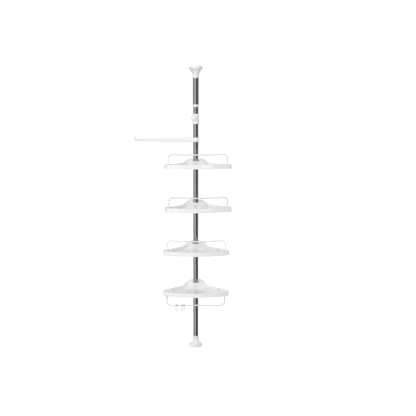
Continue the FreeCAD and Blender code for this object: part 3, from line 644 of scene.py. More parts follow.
BENT_WIRE = wire_tree()
print("tree", BENT_WIRE.name, "with", len(BENT_WIRE.nodes), "nodes")

# %% Wire from a list of corners
def wire(name, stations, radius, sides):
    """Wire through stations (point, bend radius, bend steps, thickness share), in millimetres."""
    mesh = bpy.data.meshes.new(name)
    links = [(i, i + 1) for i in range(len(stations) - 1)]
    mesh.from_pydata([Vector(station[0]) * MM for station in stations], links, [])
    for column, (key, kind) in enumerate(STATION_VALUES.items(), start=1):
        values = mesh.attributes.new(key, kind, "POINT").data
        for value, station in zip(values, stations):
            value.value = station[column] * MM if key == "bend" else station[column]
    return grown(name, mesh, BENT_WIRE, {"Wire Radius": radius * MM, "Sides": sides, "Material": WIRE})


def off_by(node, piece):
    """Prints how far the corners of a piece's box are from those of its construction node's box."""
    gaps = [(Vector(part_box(node)[side]) - Vector(piece.bound_box[corner])).length
            for side, corner in ((0, 0), (1, 6))]
    print(node, "is off by", round(max(gaps) / MM, 3), "mm")


print("a corner of a wire carries", ", ".join(STATION_VALUES))


# %% [markdown]
# ## Rails and S hooks
#
# The three upper rails stand on their posts and keep bottles in.  The bottom one is the same wire pushed in
# upside down, which makes a bar to hang things from.  The S hooks hang on that bar.

# %% Rails
TRAY_HALF = 158.0
TRAY_TURN = (4.2, 5.0, 1.0, 0.0)           # degrees about the pole, as last pushed round
TIP_Y, FRONT_SAG = -156.0, 40.0
ROD_R, RAIL_TOP, RAIL_CORNER, POST_FOOT = 3.2, 68.0, 20.0, 1.5
POST_IN, POST_BACK = 18.0, 22.0            # from the tray's tip to a post, sideways and backwards
POST_X, POST_Y = TRAY_HALF - POST_IN, TIP_Y + POST_BACK
BAR_DIP, BAR_BULGE, BAR_STRAIGHT = 6.6, 17.0, 9.0
RAIL_BEND_STEPS, BOW_STEPS, ROD_SIDES = 16, 60, 20
BOTTOM = 4                                 # the tray whose rail hangs below it


def set_down(piece, degrees, height):
    """Turns a piece about the pole and lifts it to a height in millimetres."""
    turn = Matrix.Rotation(math.radians(degrees), 4, "Z")
    piece.data.transform(Matrix.Translation((0, 0, height * MM)) @ turn)


slope = math.atan2(math.hypot(BAR_BULGE, BAR_DIP), POST_X)
BOW_R = (POST_X / math.cos(slope) - RAIL_CORNER - BAR_STRAIGHT) / math.tan(slope)
rail_path = [((-POST_X, POST_Y, POST_FOOT), 0, 0, 1),
             ((-POST_X, POST_Y, RAIL_TOP), RAIL_CORNER, RAIL_BEND_STEPS, 1),
             ((0, POST_Y - BAR_BULGE, RAIL_TOP - BAR_DIP), BOW_R, BOW_STEPS, 1),
             ((POST_X, POST_Y, RAIL_TOP), RAIL_CORNER, RAIL_BEND_STEPS, 1),
             ((POST_X, POST_Y, POST_FOOT), 0, 0, 1)]
for number, degrees in enumerate(TRAY_TURN, start=1):
    node = f"rail_{number}"
    piece = wire(f"wire_rail_{number}", rail_path, ROD_R, ROD_SIDES)
    level = low(node) - POST_FOOT
    if number == BOTTOM:
        piece.data.transform(Matrix.Rotation(math.pi, 4, "Y"))
        level = high(node) + POST_FOOT
    set_down(piece, degrees, level)
    fit(piece, "white_coated_wire", node)
    off_by(node, piece)

# %% S hooks
HOOK_WIRE_R, LOOP_R, LOOP_SWEEP, LOOP_STEPS, HOOK_SIDES = 1.3, 6.6, 262.0, 30, 16
TIP_TURNS = (0.3, 0.6, 0.85, 1.1, 1.3, 1.45, 1.56)     # steps round the ball at the wire's end, in radians
HOOK_TWIST = {"s_hook_1": 42.0, "s_hook_2": 0.0, "s_hook_3": 0.0}
mean = LOOP_R + HOOK_WIRE_R
sweep = math.radians(LOOP_SWEEP)
half_hook = [(sweep * k / LOOP_STEPS, 1.0) for k in range(1, LOOP_STEPS + 1)]
half_hook += [(sweep + HOOK_WIRE_R / mean * math.sin(t), math.cos(t)) for t in TIP_TURNS]
loops = [((0, side * mean * math.sin(a), side * (mean - mean * math.cos(a))), 0, 0, share)
         for side, part in ((1, half_hook[::-1] + [(0.0, 1.0)]), (-1, half_hook)) for a, share in part]
for node, twist in HOOK_TWIST.items():
    middle = (Vector(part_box(node)[0]) + Vector(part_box(node)[1])) / 2
    bow_turn = math.asin(middle.x / MM / BOW_R)
    heading = math.atan2(math.sin(bow_turn) * BAR_BULGE / math.hypot(BAR_BULGE, BAR_DIP), math.cos(bow_turn))
    piece = wire("wire_" + node, loops, HOOK_WIRE_R, HOOK_SIDES)
    turn = Matrix.Rotation(heading + math.radians(twist), 4, "Z")
    piece.data.transform(Matrix.Translation(middle) @ turn)
    fit(piece, "white_coated_wire", node)
    # the hooks take the rails' wire recipe in a middle grey
    piece.data.materials[0] = HOOK_WIRE
    off_by(node, piece)


# %% [markdown]
# ## Tension spring
#
# The spring in the sleeve is plated hard wire, wound on a mandrel.  It stands on the seat in the pole's top
# and pushes the head up.  It moves with the head.

# %% Spring
SPRING_WIRE_R, SPRING_TURNS, TURN_STEPS, SPRING_SIDES = 1.0, 11, 20, 10
spring_low, spring_top = low("tension_spring"), high("tension_spring")
spring_r = half_width("tension_spring") - SPRING_WIRE_R
coil = []
for step in range(SPRING_TURNS * TURN_STEPS + 1):
    turn = math.tau * step / TURN_STEPS
    rise = (spring_top - spring_low - 2 * SPRING_WIRE_R) * step / (SPRING_TURNS * TURN_STEPS)
    place_on_coil = (spring_r * math.cos(turn), spring_r * math.sin(turn), spring_low + SPRING_WIRE_R + rise)
    coil.append((place_on_coil, 0, 0, 1))
piece = wire("spring_coil", coil, SPRING_WIRE_R, SPRING_SIDES)
fit(piece, "spring_steel", "tension_spring")
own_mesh(piece)


# %% [markdown]
# ## Corner tray: heights
#
# The tray is one thin moulding.  Its floor rises in a round mound to the pole, its back wall climbs to a
# peak behind the mound, and its ends are raised platforms that take the posts.  Heights are rules of plan
# position, so they are written as functions first.

# %% Heights over the plan
TRAY_CORNER = 46.0
TRAY_RIM, TRAY_WALL, TRAY_FLOOR, TRAY_PLATE = 20.5, 2.6, 4.5, 2.5
PLATFORM_WIDTH, PLATFORM_Z = 40.0, 18.5
PEAK, PEAK_HALF, BACK_RUN = 40.0, 20.0, 65.0
MOUND_Y, MOUND_TOP_R, MOUND_FOOT_R, MOUND_SLOPE = 42.0, 15.0, 82.0, math.radians(38)
MOUND_BLEND = 4.0              # height over which the mound's foot runs out into the floor
WALL_END_Y = TRAY_CORNER - TRAY_HALF
WING_BLEND = 12.0              # half the length over which the low back wall rises to the end's rim
spare = (MOUND_FOOT_R - MOUND_TOP_R) * math.tan(MOUND_SLOPE) - (PEAK - TRAY_FLOOR)
SHOULDER_R = spare / (math.sin(MOUND_SLOPE) * math.tan(MOUND_SLOPE) - 1 + math.cos(MOUND_SLOPE))


def mound_height(x, y):
    """Upper surface of the well: floor, then a straight slope, a round shoulder and a level top."""
    out = np.hypot(x, y - MOUND_Y)
    turn = np.clip((out - MOUND_TOP_R) / SHOULDER_R, 0, math.sin(MOUND_SLOPE))
    shoulder = PEAK - SHOULDER_R + SHOULDER_R * np.sqrt(1 - turn ** 2)
    straight = TRAY_FLOOR + (MOUND_FOOT_R - out) * math.tan(MOUND_SLOPE)
    hill = np.where(turn < math.sin(MOUND_SLOPE), shoulder, straight)
    near = np.clip(1 - np.abs(hill - TRAY_FLOOR) / MOUND_BLEND, 0, 1)
    return np.maximum(hill, TRAY_FLOOR) + near ** 2 * MOUND_BLEND / 4


def rim_height(x, y):
    """Top of the outer wall: an S curve falling from the peak, and the plain rim round the tips and front."""
    run, drop = BACK_RUN, PEAK - PLATFORM_Z
    arc_r = (run * run + drop * drop) / (4 * drop)
    along = np.clip(np.abs(x) - PEAK_HALF, 0, run)
    first = PEAK - arc_r + np.sqrt(arc_r ** 2 - np.minimum(along, run / 2) ** 2)
    second = PLATFORM_Z + arc_r - np.sqrt(arc_r ** 2 - np.minimum(run - along, run / 2) ** 2)
    back = np.where(along < run / 2, first, second)
    share = np.clip((WALL_END_Y + WING_BLEND - y) / (2 * WING_BLEND), 0, 1)
    share = share * share * (3 - 2 * share)
    return back * (1 - share) + TRAY_RIM * share


print("mound in front of the pole", round(float(mound_height(0.0, -POLE_R)), 1), "mm high")


# %% [markdown]
# ## Corner tray: plan
#
# Two outlines are needed: the tray's own, moved in by any amount, and the well's, whose ends are cut off by
# the platforms.  Both have the same number of points, in the same order, so rings drawn at different
# heights can be joined face by face.  Arcs get many points and straight runs few.

# %% Runs and arcs in plan
FRONT_R = (TRAY_HALF ** 2 + FRONT_SAG ** 2) / (2 * FRONT_SAG)
FRONT_CENTRE = TIP_Y - FRONT_SAG + FRONT_R


def run_to(p, q, n):
    """The first n points of a straight run."""
    return [(p[0] + (q[0] - p[0]) * k / n, p[1] + (q[1] - p[1]) * k / n) for k in range(n)]


def bend_to(x, y, radius, a0, a1, n):
    """The first n points of an arc about (x, y)."""
    turns = [a0 + (a1 - a0) * k / n for k in range(n)]
    return [(x + radius * math.cos(a), y + radius * math.sin(a)) for a in turns]


def front_arc(radius, x0, x1, n):
    """The first n points of the front rim's arc between two widths."""
    a0, a1 = math.asin(x0 / radius), math.asin(x1 / radius)
    turns = [a0 + (a1 - a0) * k / n for k in range(n)]
    return [(radius * math.sin(a), FRONT_CENTRE - radius * math.cos(a)) for a in turns]


def both_sides(right):
    """Adds the mirrored left half to a right half that runs from the back's middle to the front's middle."""
    return np.array(right + [(-x, y) for x, y in right[-2:0:-1]])


print("front rim", round(FRONT_R), "mm in radius, its centre", round(FRONT_CENTRE), "mm behind the pole")

# %% Corners in plan
EIGHTH = math.pi / 4
CORNER_ROUND, WING_ROUND, TIP_ROUND, WELL_ROUND = 24.0, 20.0, 14.0, 6.0
CORNER_STEPS = 7                           # points round half the corner behind the pole
STEP_X = TRAY_HALF - PLATFORM_WIDTH - TRAY_PLATE / 2


def back_wall(inset, x):
    """Point on the straight back wall, moved in, at the given x."""
    return (x, TRAY_CORNER - inset * math.sqrt(2) - x)


def back_corner(inset):
    """Half of the round corner behind the pole."""
    radius = CORNER_ROUND - inset
    centre_y = TRAY_CORNER - inset * math.sqrt(2) - radius * math.sqrt(2)
    return bend_to(0, centre_y, radius, 2 * EIGHTH, EIGHTH, CORNER_STEPS)


def front_meets(side, inset, radius):
    """Centre height of an arc that touches an upright side and the front rim, and where it meets the rim."""
    y = FRONT_CENTRE - math.sqrt((FRONT_R - inset - radius) ** 2 - (side - radius) ** 2)
    return y, (side - radius) * (FRONT_R - inset) / (FRONT_R - inset - radius)


BACK_SPLIT = STEP_X - WELL_ROUND * math.tan(EIGHTH / 2) / math.sqrt(2)
FRONT_SPLIT = front_meets(STEP_X, TRAY_WALL, WELL_ROUND)[1]
print("platforms start", round(BACK_SPLIT, 1), "mm out behind and", round(FRONT_SPLIT, 1), "mm in front")

# %% Outline of the tray
BACK_STEPS, FRONT_STEPS = 40, 50           # points on the back wall and on half the front rim
WING_RUN, WING_BEND, SIDE_RUN, TIP_BEND, TIP_RUN = 6, 6, 5, 7, 8       # and round a platform
ON_PLATFORM = WING_RUN + WING_BEND + SIDE_RUN + TIP_BEND + TIP_RUN


def tray_plan(inset):
    """The tray's outline, moved in."""
    side = TRAY_HALF - inset
    wing, tip = WING_ROUND - inset, TIP_ROUND - inset
    trim = wing * math.tan(EIGHTH / 2)
    wing_y = back_wall(inset, side)[1] - trim
    tip_y, tip_x = front_meets(side, inset, tip)
    corner = back_corner(inset)
    start = (CORNER_ROUND - inset) / math.sqrt(2)
    split, wing_start = back_wall(inset, BACK_SPLIT), back_wall(inset, side - trim / math.sqrt(2))
    points = corner + run_to(back_wall(inset, start), split, BACK_STEPS) + run_to(split, wing_start, WING_RUN)
    points += bend_to(side - wing, wing_y, wing, EIGHTH, 0, WING_BEND)
    points += run_to((side, wing_y), (side, tip_y), SIDE_RUN)
    tip_turn = math.atan2(tip_y - FRONT_CENTRE, side - tip)
    points += bend_to(side - tip, tip_y, tip, 0, tip_turn, TIP_BEND)
    points += front_arc(FRONT_R - inset, tip_x, FRONT_SPLIT, TIP_RUN)
    points += front_arc(FRONT_R - inset, FRONT_SPLIT, 0, FRONT_STEPS)
    return both_sides(points + [(0, FRONT_CENTRE - FRONT_R + inset)])


AROUND = len(tray_plan(0))
from_back = np.minimum(np.arange(AROUND), AROUND - np.arange(AROUND)) - CORNER_STEPS - BACK_STEPS
AT_END = (from_back > 0) & (from_back < ON_PLATFORM)
print("points round the tray", AROUND, "of which on the platforms", int(AT_END.sum()))

# %% Outline of the well
STEP_BEND = 6                              # points at either end of the step up to a platform
STEP_RUN = ON_PLATFORM - 2 * STEP_BEND


def well_plan(walls, step):
    """The well, its walls moved in by one amount and its steps at the platforms by another."""
    inset, side, radius = TRAY_WALL + walls, STEP_X - step, WELL_ROUND - max(walls, step, 0)
    trim = radius * math.tan(EIGHTH / 2)
    step_y = back_wall(inset, side)[1] - trim
    end_y, end_x = front_meets(side, inset, radius)
    start = (CORNER_ROUND - inset) / math.sqrt(2)
    split = back_wall(inset, side - trim / math.sqrt(2))
    points = back_corner(inset) + run_to(back_wall(inset, start), split, BACK_STEPS)
    points += bend_to(side - radius, step_y, radius, EIGHTH, 0, STEP_BEND)
    points += run_to((side, step_y), (side, end_y), STEP_RUN)
    end_turn = math.atan2(end_y - FRONT_CENTRE, side - radius)
    points += bend_to(side - radius, end_y, radius, 0, end_turn, STEP_BEND)
    points += front_arc(FRONT_R - inset, end_x, 0, FRONT_STEPS)
    return both_sides(points + [(0, FRONT_CENTRE - FRONT_R + inset)])


print("points round the well", len(well_plan(0, 0)))


# %% [markdown]
# ## Corner tray: rings
#
# The moulding's whole skin is one closed strip of rings.  It starts outside at the rim, rolls over the lip,
# goes down to the platform, over the step, round the fillet at the wall's foot, across the well and up the
# mound, down the bore, round the boss, back out under the floor, and up the outer wall.  Rings that fall
# together, as at the back where there is no platform, are merged.

# %% Over the lip
LIP, LIP_STEPS = 1.3, 4
outer, inner, wall_line = tray_plan(0), well_plan(0, 0), tray_plan(TRAY_WALL)
rim, floor_at = rim_height(*outer.T), mound_height(*inner.T)
rings = []


def ring(plan, z):
    """Adds a ring, drawn in plan, at one height or at a height for each of its points."""
    rings.append(np.column_stack([plan, np.broadcast_to(z, AROUND)]))


def quarter(steps):
    """Angles of a quarter round in equal steps."""
    return [math.pi / 2 * k / steps for k in range(steps + 1)]


roll = np.clip(rim - np.where(AT_END, PLATFORM_Z, floor_at), 0, LIP)
top = rim - roll
for a in quarter(LIP_STEPS):
    ring(tray_plan(LIP * (1 - math.cos(a))), rim - LIP * (1 - math.sin(a)))
for a in quarter(LIP_STEPS)[1:]:
    ring(tray_plan(LIP + LIP * math.sin(a)), rim - roll * (1 - math.cos(a)))
print("rings over the lip", len(rings))

# %% Down the wall to the well's floor
STEP_EDGE, FOOT_FILLET, FILLET_STEPS, END_FILLET = 2.0, 3.0, 5, 0.7
HALFWAY = 0.3                  # how far in the middle of a quarter round lies, as a share of its radius
foot = np.clip((top - floor_at) / FOOT_FILLET, 0, 1) * FOOT_FILLET
lowest = floor_at + foot


def down_wall(end_plan, end_z):
    """Adds a ring that is on the platform at the ends, and on the well's wall elsewhere."""
    wall_z = np.clip(end_z, lowest, top)
    ring(np.where(AT_END[:, None], end_plan, inner), np.where(AT_END, end_z, wall_z))


fillet = np.clip(top - PLATFORM_Z, 0, END_FILLET)
down_wall(wall_line, PLATFORM_Z + fillet)
down_wall(tray_plan(TRAY_WALL + HALFWAY * END_FILLET), PLATFORM_Z + HALFWAY * fillet)
down_wall(tray_plan(TRAY_WALL + END_FILLET), PLATFORM_Z)
for a in quarter(LIP_STEPS):
    down_wall(well_plan(END_FILLET, -STEP_EDGE * (1 - math.sin(a))),
              PLATFORM_Z - STEP_EDGE * (1 - math.cos(a)))
for a in quarter(FILLET_STEPS):
    well = well_plan(FOOT_FILLET * (1 - math.cos(a)), FOOT_FILLET * (1 - math.cos(a)))
    ring(well, mound_height(*well.T) + foot * (1 - math.sin(a)))
print("and down to the floor", len(rings))

# %% Up the mound
BODY_GAP, MOUTH_EDGE, ACROSS = 0.3, 0.8, 44            # ACROSS is the number of rings from the well's wall
TAPER_BOTTOM, TAPER_TOP, TAPER_BOTTOM_R = -10.0, 28.0, half_width("collet_front_1")
TAPER_SLOPE = (POLE_R + TAPER_WALL - TAPER_BOTTOM_R) / (TAPER_TOP - TAPER_BOTTOM)
reach = np.linalg.norm(well, axis=1)
heading = well / reach[:, None]


def bore_radius(z):
    """The tray's tapered bore, which fits over the clamp with a gap."""
    return TAPER_BOTTOM_R + BODY_GAP + TAPER_SLOPE * (z - TAPER_BOTTOM)


def round_pole(radius, z):
    """Adds a ring about the pole whose points lie in the same directions as the well's."""
    ring(heading * np.broadcast_to(radius, AROUND)[:, None], z)


edge_z = mound_height(*(heading * bore_radius(TAPER_TOP)).T)
bore = bore_radius(edge_z)
mouth = bore + MOUTH_EDGE
for k in range(1, ACROSS + 1):
    radius = reach + (mouth - reach) * k / ACROSS
    round_pole(radius, mound_height(*(heading * radius[:, None]).T))
round_pole(bore + HALFWAY * MOUTH_EDGE, edge_z - HALFWAY * MOUTH_EDGE)
print("and up to the bore", len(rings))

# %% Down the bore and round the boss
BOSS_BELOW, BOSS_WALL, BOSS_EDGE = 8.0, 2.6, 0.5
end_r = bore_radius(-BOSS_BELOW)
round_pole(bore, edge_z - MOUTH_EDGE)
round_pole(bore_radius(0), 0)
round_pole(end_r, -BOSS_BELOW + BOSS_EDGE)
round_pole(end_r + BOSS_EDGE, -BOSS_BELOW)
round_pole(end_r + BOSS_WALL - BOSS_EDGE, -BOSS_BELOW)
round_pole(end_r + BOSS_WALL, -BOSS_BELOW + BOSS_EDGE)
round_pole(bore_radius(0) + BOSS_WALL, 0)
print("and round the boss", len(rings))

# %% Back out under the floor and up outside
UNDER, LOWER_EDGE = 20, 0.4                # UNDER is the number of steps from the boss to the well's wall
below = np.where(AT_END[:, None], well_plan(0, -TRAY_PLATE), inner)
reach_below = np.linalg.norm(below, axis=1)
heading_below = below / reach_below[:, None]
boss_r = bore + BOSS_WALL
for k in range(UNDER + 1):
    share = k / UNDER
    direction = heading * (1 - share) + heading_below * share
    direction /= np.linalg.norm(direction, axis=1)[:, None]
    plan = direction * (boss_r + (reach_below - boss_r) * share)[:, None]
    ring(plan, mound_height(*plan.T) - TRAY_PLATE)
under_z = np.where(AT_END, PLATFORM_Z - TRAY_PLATE, floor_at - TRAY_PLATE)
for plan, z in ((below, under_z), (wall_line, under_z), (wall_line, LOWER_EDGE),
                (tray_plan(TRAY_WALL - LOWER_EDGE), 0), (tray_plan(LOWER_EDGE), 0), (outer, LOWER_EDGE)):
    ring(plan, z)
print("and back to the outside", len(rings))

# %% Close the skin
points = np.vstack(rings)
faces = []
for i in range(len(rings)):
    for k in range(AROUND):
        a, b = i * AROUND, (i + 1) % len(rings) * AROUND
        faces.append((a + k, b + k, b + (k + 1) % AROUND, a + (k + 1) % AROUND))
blank = solid("tray_blank", points.tolist(), faces)
print("tray skin", len(blank.data.polygons), "faces")


# %% [markdown]
# ## Corner tray: sockets and drain slots
#
# Posts push into sleeves under the platforms.  The floor drains through rows of slots that follow the front
# rim.  Sleeves, post holes and slots are cut with Boolean modifiers, as pins and cores do it in a mould.
# The slots repeat along arcs, so a Geometry Nodes tree sets one cutter on each point.

# %% Geometry Nodes: slot cutters
END_SHARE, END_STEPS = 0.499, 8            # under half the width, so that an end's two arcs don't meet


def slot_tree():
    tree, given = new_tree("slot_cutters", {"Geometry": "NodeSocketGeometry", "Length": "NodeSocketFloat",
                                            "Width": "NodeSocketFloat", "Depth": "NodeSocketFloat",
                                            "Material": "NodeSocketMaterial"})
    box = add(tree, "GeometryNodeCurvePrimitiveQuadrilateral", {"Width": given["Length"],
                                                                "Height": given["Width"]})
    half = add(tree, "ShaderNodeMath", {0: given["Width"], 1: END_SHARE}, operation="MULTIPLY")
    ends = add(tree, "GeometryNodeFilletCurve", {"Curve": box.outputs["Curve"], "Count": END_STEPS,
                                                 "Radius": half.outputs[0]}, mode="POLY")
    floor_up = add(tree, "ShaderNodeCombineXYZ", {"Z": given["Depth"]})
    path = add(tree, "GeometryNodeCurvePrimitiveLine", {"End": floor_up.outputs[0]})
    cutter = add(tree, "GeometryNodeCurveToMesh", {"Curve": path.outputs[0],
                                                   "Profile Curve": ends.outputs["Curve"], "Fill Caps": True})
    turn = add(tree, "GeometryNodeInputNamedAttribute", {"Name": "turn"}, data_type="FLOAT")
    spin = add(tree, "ShaderNodeCombineXYZ", {"Z": turn.outputs["Attribute"]})
    copies = add(tree, "GeometryNodeInstanceOnPoints", {"Points": given["Geometry"],
                                                        "Instance": cutter.outputs["Mesh"],
                                                        "Rotation": spin.outputs[0]})
    return close_tree(tree, copies.outputs["Instances"], given["Material"])


SLOT_CUTTERS = slot_tree()
print("tree", SLOT_CUTTERS.name, "with", len(SLOT_CUTTERS.nodes), "nodes")

# %% Slots in rows along the front rim
SLOT_WIDTH, SLOT_LENGTH, SLOT_BRIDGE, SLOT_PITCH, SLOT_ROWS = 5.0, 40.0, 9.0, 18.0, 6
SLOT_FRONT, SLOT_MARGIN, CUT_BELOW = 20.0, 12.0, 1.0

slots = []
for row in range(SLOT_ROWS):
    radius = FRONT_R - SLOT_FRONT - row * SLOT_PITCH
    wall_room = radius - FRONT_CENTRE + TRAY_CORNER - SLOT_MARGIN * math.sqrt(2)
    half = min(TRAY_HALF - PLATFORM_WIDTH - SLOT_MARGIN, wall_room)
    count = int((2 * half + SLOT_BRIDGE) // (SLOT_LENGTH + SLOT_BRIDGE))
    for i in range(count):
        a = (i - (count - 1) / 2) * (SLOT_LENGTH + SLOT_BRIDGE) / radius
        slots.append(((radius * math.sin(a), FRONT_CENTRE - radius * math.cos(a), -CUT_BELOW), a))
mesh = bpy.data.meshes.new("slot_points")
mesh.from_pydata([Vector(p) * MM for p, _ in slots], [], [])
turns = mesh.attributes.new("turn", "FLOAT", "POINT").data
for value, (_, a) in zip(turns, slots):
    value.value = a
cutters = grown("slot_cutters", mesh, SLOT_CUTTERS, {"Length": SLOT_LENGTH * MM, "Width": SLOT_WIDTH * MM,
                                                     "Depth": 2 * TRAY_FLOOR * MM, "Material": ABS})
print("drain slots", len(slots), "cutters span", [round(v / MM) for v in cutters.dimensions])

# %% Post sleeves and holes
SOCKET_WALL, SLEEVE_FOOT, SLEEVE_HEAD, PIN_SIDES = 2.0, 0.2, 17.0, 32


def gather(target, meshes):
    """Fills a mesh with several meshes side by side, without merging what touches."""
    whole = bmesh.new()
    for mesh in meshes:
        whole.from_mesh(mesh)
    whole.to_mesh(target)
    whole.free()


def post_pins(name, radius, bottom, top):
    """Two upright pins at the posts' places."""
    pins = lathe(name, [(0, bottom), (radius, bottom), (radius, top), (0, top)], sides=PIN_SIDES)
    left = pins.data.copy()
    pins.data.transform(Matrix.Translation(Vector((POST_X, POST_Y, 0)) * MM))
    left.transform(Matrix.Translation(Vector((-POST_X, POST_Y, 0)) * MM))
    gather(pins.data, (pins.data, left))
    return pins


sleeves = post_pins("post_sleeves", ROD_R + RUNNING + SOCKET_WALL, SLEEVE_FOOT, SLEEVE_HEAD)
holes = post_pins("post_holes", ROD_R + RUNNING, -CUT_BELOW, PEAK)
print("sleeves", round(sleeves.dimensions.z / MM, 1), "mm high")

# %% Cut the tray and set four copies in place
for tool, action in ((sleeves, "UNION"), (holes, "DIFFERENCE"), (cutters, "DIFFERENCE")):
    cut = blank.modifiers.new(tool.name, "BOOLEAN")
    cut.object, cut.operation, cut.solver = tool, action, "EXACT"
moulding = finished(baked(blank), FINE_DOUBLES)
for tool in (sleeves, holes, cutters, blank):
    bpy.data.objects.remove(tool)
for number, degrees in enumerate(TRAY_TURN, start=1):
    node = f"tray_{number}"
    tray = place(f"corner_tray_{number}", moulding.copy())
    set_down(tray, degrees, high(node) - PEAK)
    fit(tray, "white_abs", node)
    off_by(node, tray)
print("faces in one tray", len(moulding.polygons))


# %% [markdown]
# ## Towel arm
#
# The arm is a moulded blade, deep at the hub and slim at the tip, that runs smoothly into a round hub and a
# peg.  Its sections are super-ellipses, between an oval and a rectangle.  Blade, hub and peg are made
# apart, fused with a voxel remesh and smoothed, which leaves the soft inside corners that a mould has.

# %% Hub and peg
ARM_REACH, ARM_TAPER = 298.0, 54.0
ARM_HEIGHTS = (22.0, 14.0, 9.0)            # at the root, at the start of the taper and at the tip
ARM_WIDTHS = (11.0, 11.0, 9.46)            # at the same places
HUB_EDGE, PEG_R, PEG_TOP, PEG_FOOT_EDGE, PEG_TOP_EDGE = 0.5, 5.0, 13.5, 2.0, 3.0
BLADE_SIDES = 48
arm_z, hub_bore = (grip_low + grip_top) / 2, GRIP_SLEEVE_R + RUNNING
hub_half = (grip_top - grip_low) / 2 - FLANGE - RUNNING
hub_low, hub_top = arm_z - hub_half, arm_z + hub_half
hub = lathe("arm_hub", softened([(hub_bore, hub_low, 0), (GRIP_R, hub_low, HUB_EDGE),
                                 (GRIP_R, hub_top, HUB_EDGE), (hub_bore, hub_top, 0)]))
peg_low, peg_top = arm_z - ARM_HEIGHTS[-1] / 2, arm_z + PEG_TOP
peg = lathe("arm_peg", softened([(0, peg_low, 0), (PEG_R, peg_low, PEG_FOOT_EDGE),
                                 (PEG_R, peg_top, PEG_TOP_EDGE), (0, peg_top, 0)]), sides=BLADE_SIDES)
peg.data.transform(Matrix.Translation((-ARM_REACH * MM, 0, 0)))
print("hub", round(hub_top - hub_low, 1), "mm high, peg", round(peg_top - peg_low, 1), "mm")

# %% Blade
ROUNDNESS, BLADE_STEPS = 0.55, 60          # a ROUNDNESS of 1 is an oval, and near 0 it is a rectangle
IN_HUB, AT_HUB, OUT_OF_HUB = -0.8, 0.6, 2.2            # the blade's first sections, from the hub's surface
measured_at = (0, ARM_REACH - ARM_TAPER, ARM_REACH)
stations = [GRIP_R + IN_HUB, GRIP_R + AT_HUB, *np.linspace(GRIP_R + OUT_OF_HUB, ARM_REACH, BLADE_STEPS)]
sections = []
for along in stations:
    tall = np.interp(along, measured_at, ARM_HEIGHTS) / 2 if along >= GRIP_R + OUT_OF_HUB else hub_half
    thick = np.interp(along, measured_at, ARM_WIDTHS) / 2
    for k in range(BLADE_SIDES):
        a = math.tau * k / BLADE_SIDES
        x, y = (math.copysign(abs(v) ** ROUNDNESS, v) for v in (math.cos(a), math.sin(a)))
        sections.append((-along, thick * x, arm_z + tall * y))
n, last = BLADE_SIDES, len(stations) - 1
faces = [(i * n + k, i * n + (k + 1) % n, (i + 1) * n + (k + 1) % n, (i + 1) * n + k)
         for i in range(last) for k in range(n)]
faces += [list(range(n)), list(range(last * n, last * n + n))[::-1]]
blade = solid("arm_blade", sections, faces)
print("blade", len(stations), "sections of", BLADE_SIDES, "points")

# %% Hub, peg and blade in one
VOXEL, SMOOTH_SHARE, SMOOTH_ROUNDS = 0.7, 0.5, 4
gather(blade.data, [part.data for part in (hub, peg, blade)])
fuse = blade.modifiers.new("fuse", "REMESH")
fuse.mode, fuse.voxel_size = "VOXEL", VOXEL * MM
soften = blade.modifiers.new("soften", "SMOOTH")
soften.factor, soften.iterations = SMOOTH_SHARE, SMOOTH_ROUNDS
fused = baked(blade)
for part in (hub, peg, blade):
    bpy.data.objects.remove(part)
fused.name = "swing_arm"
arm = place("swing_arm", fused)
fused.shade_smooth()
fit(arm, "white_abs", "towel_arm")
print("arm", len(fused.polygons), "faces, tip at", round(min(v.co.x for v in fused.vertices) / MM, 1), "mm")


# %% [markdown]
# ## Studio
#
# White things on white need shading to be seen.  The floor and the surround are therefore pure white only
# to the camera and in reflections, and give a dimmer light to the pieces themselves.  The Light Path node
# tells the two apart.

# %% Floor
FLOOR_HALF, FLOOR_GREY, FLOOR_ROUGH, FLOOR_LIFT = 30.0, "#A7A7A7", 0.9, 0.8


def plane(name, corners):
    """Flat four-cornered piece, in metres."""
    mesh = bpy.data.meshes.new(name)
    mesh.from_pydata(corners, [], [list(range(len(corners)))])
    return place(name, mesh)


def looked_at(tree):
    """1 for a ray that the camera sees, straight, in a reflection or through a clear thing, otherwise 0."""
    path = add(tree, "ShaderNodeLightPath").outputs
    seen = path["Is Camera Ray"]
    for other in ("Is Glossy Ray", "Is Transmission Ray"):
        seen = add(tree, "ShaderNodeMath", {0: seen, 1: path[other]}, operation="MAXIMUM").outputs[0]
    return seen


def floor_material():
    material, tree, shader = blank_material("white_studio_floor")
    shader.inputs["Roughness"].default_value = FLOOR_ROUGH
    shader.inputs["Base Color"].default_value = srgb(FLOOR_GREY)
    lift = add(tree, "ShaderNodeMath", {0: looked_at(tree), 1: FLOOR_LIFT}, operation="MULTIPLY")
    shader.inputs["Emission Color"].default_value = (1, 1, 1, 1)
    tree.links.new(lift.outputs[0], shader.inputs["Emission Strength"])
    return material


corners = [(x * FLOOR_HALF, y * FLOOR_HALF, 0) for x, y in ((-1, -1), (1, -1), (1, 1), (-1, 1))]
floor = plane("studio_floor", corners)
floor.data.materials.append(floor_material())
floor.visible_glossy = False
print("floor", round(2 * FLOOR_HALF), "m wide")

# %% Surround
AMBIENT = 0.44                 # how bright the surround is to the pieces
world = bpy.data.worlds.new("white_surround")
bpy.context.scene.world = world
world.use_nodes = True
sky = world.node_tree
strength = add(sky, "ShaderNodeMapRange", {"Value": looked_at(sky), "To Min": AMBIENT, "To Max": 1.0})
sky.links.new(strength.outputs["Result"], sky.nodes["Background"].inputs["Strength"])
sky.nodes["Background"].inputs["Color"].default_value = (1, 1, 1, 1)
print("surround at", AMBIENT, "for the pieces and at 1 for the camera")


# %% [markdown]
# ## Cards and lamps
#
# Polished metal shows what stands round it, so a tube looks like metal only when dark and light cards make
# stripes on it.  The cards here are seen by reflections alone.  Five soft lamps give the form: a key in
# front on the left, a wide one at the left side, a fill in front of the object that leaves the right sides
# of round pieces in shade, a low strip for the rims, and one high behind for the top edges.

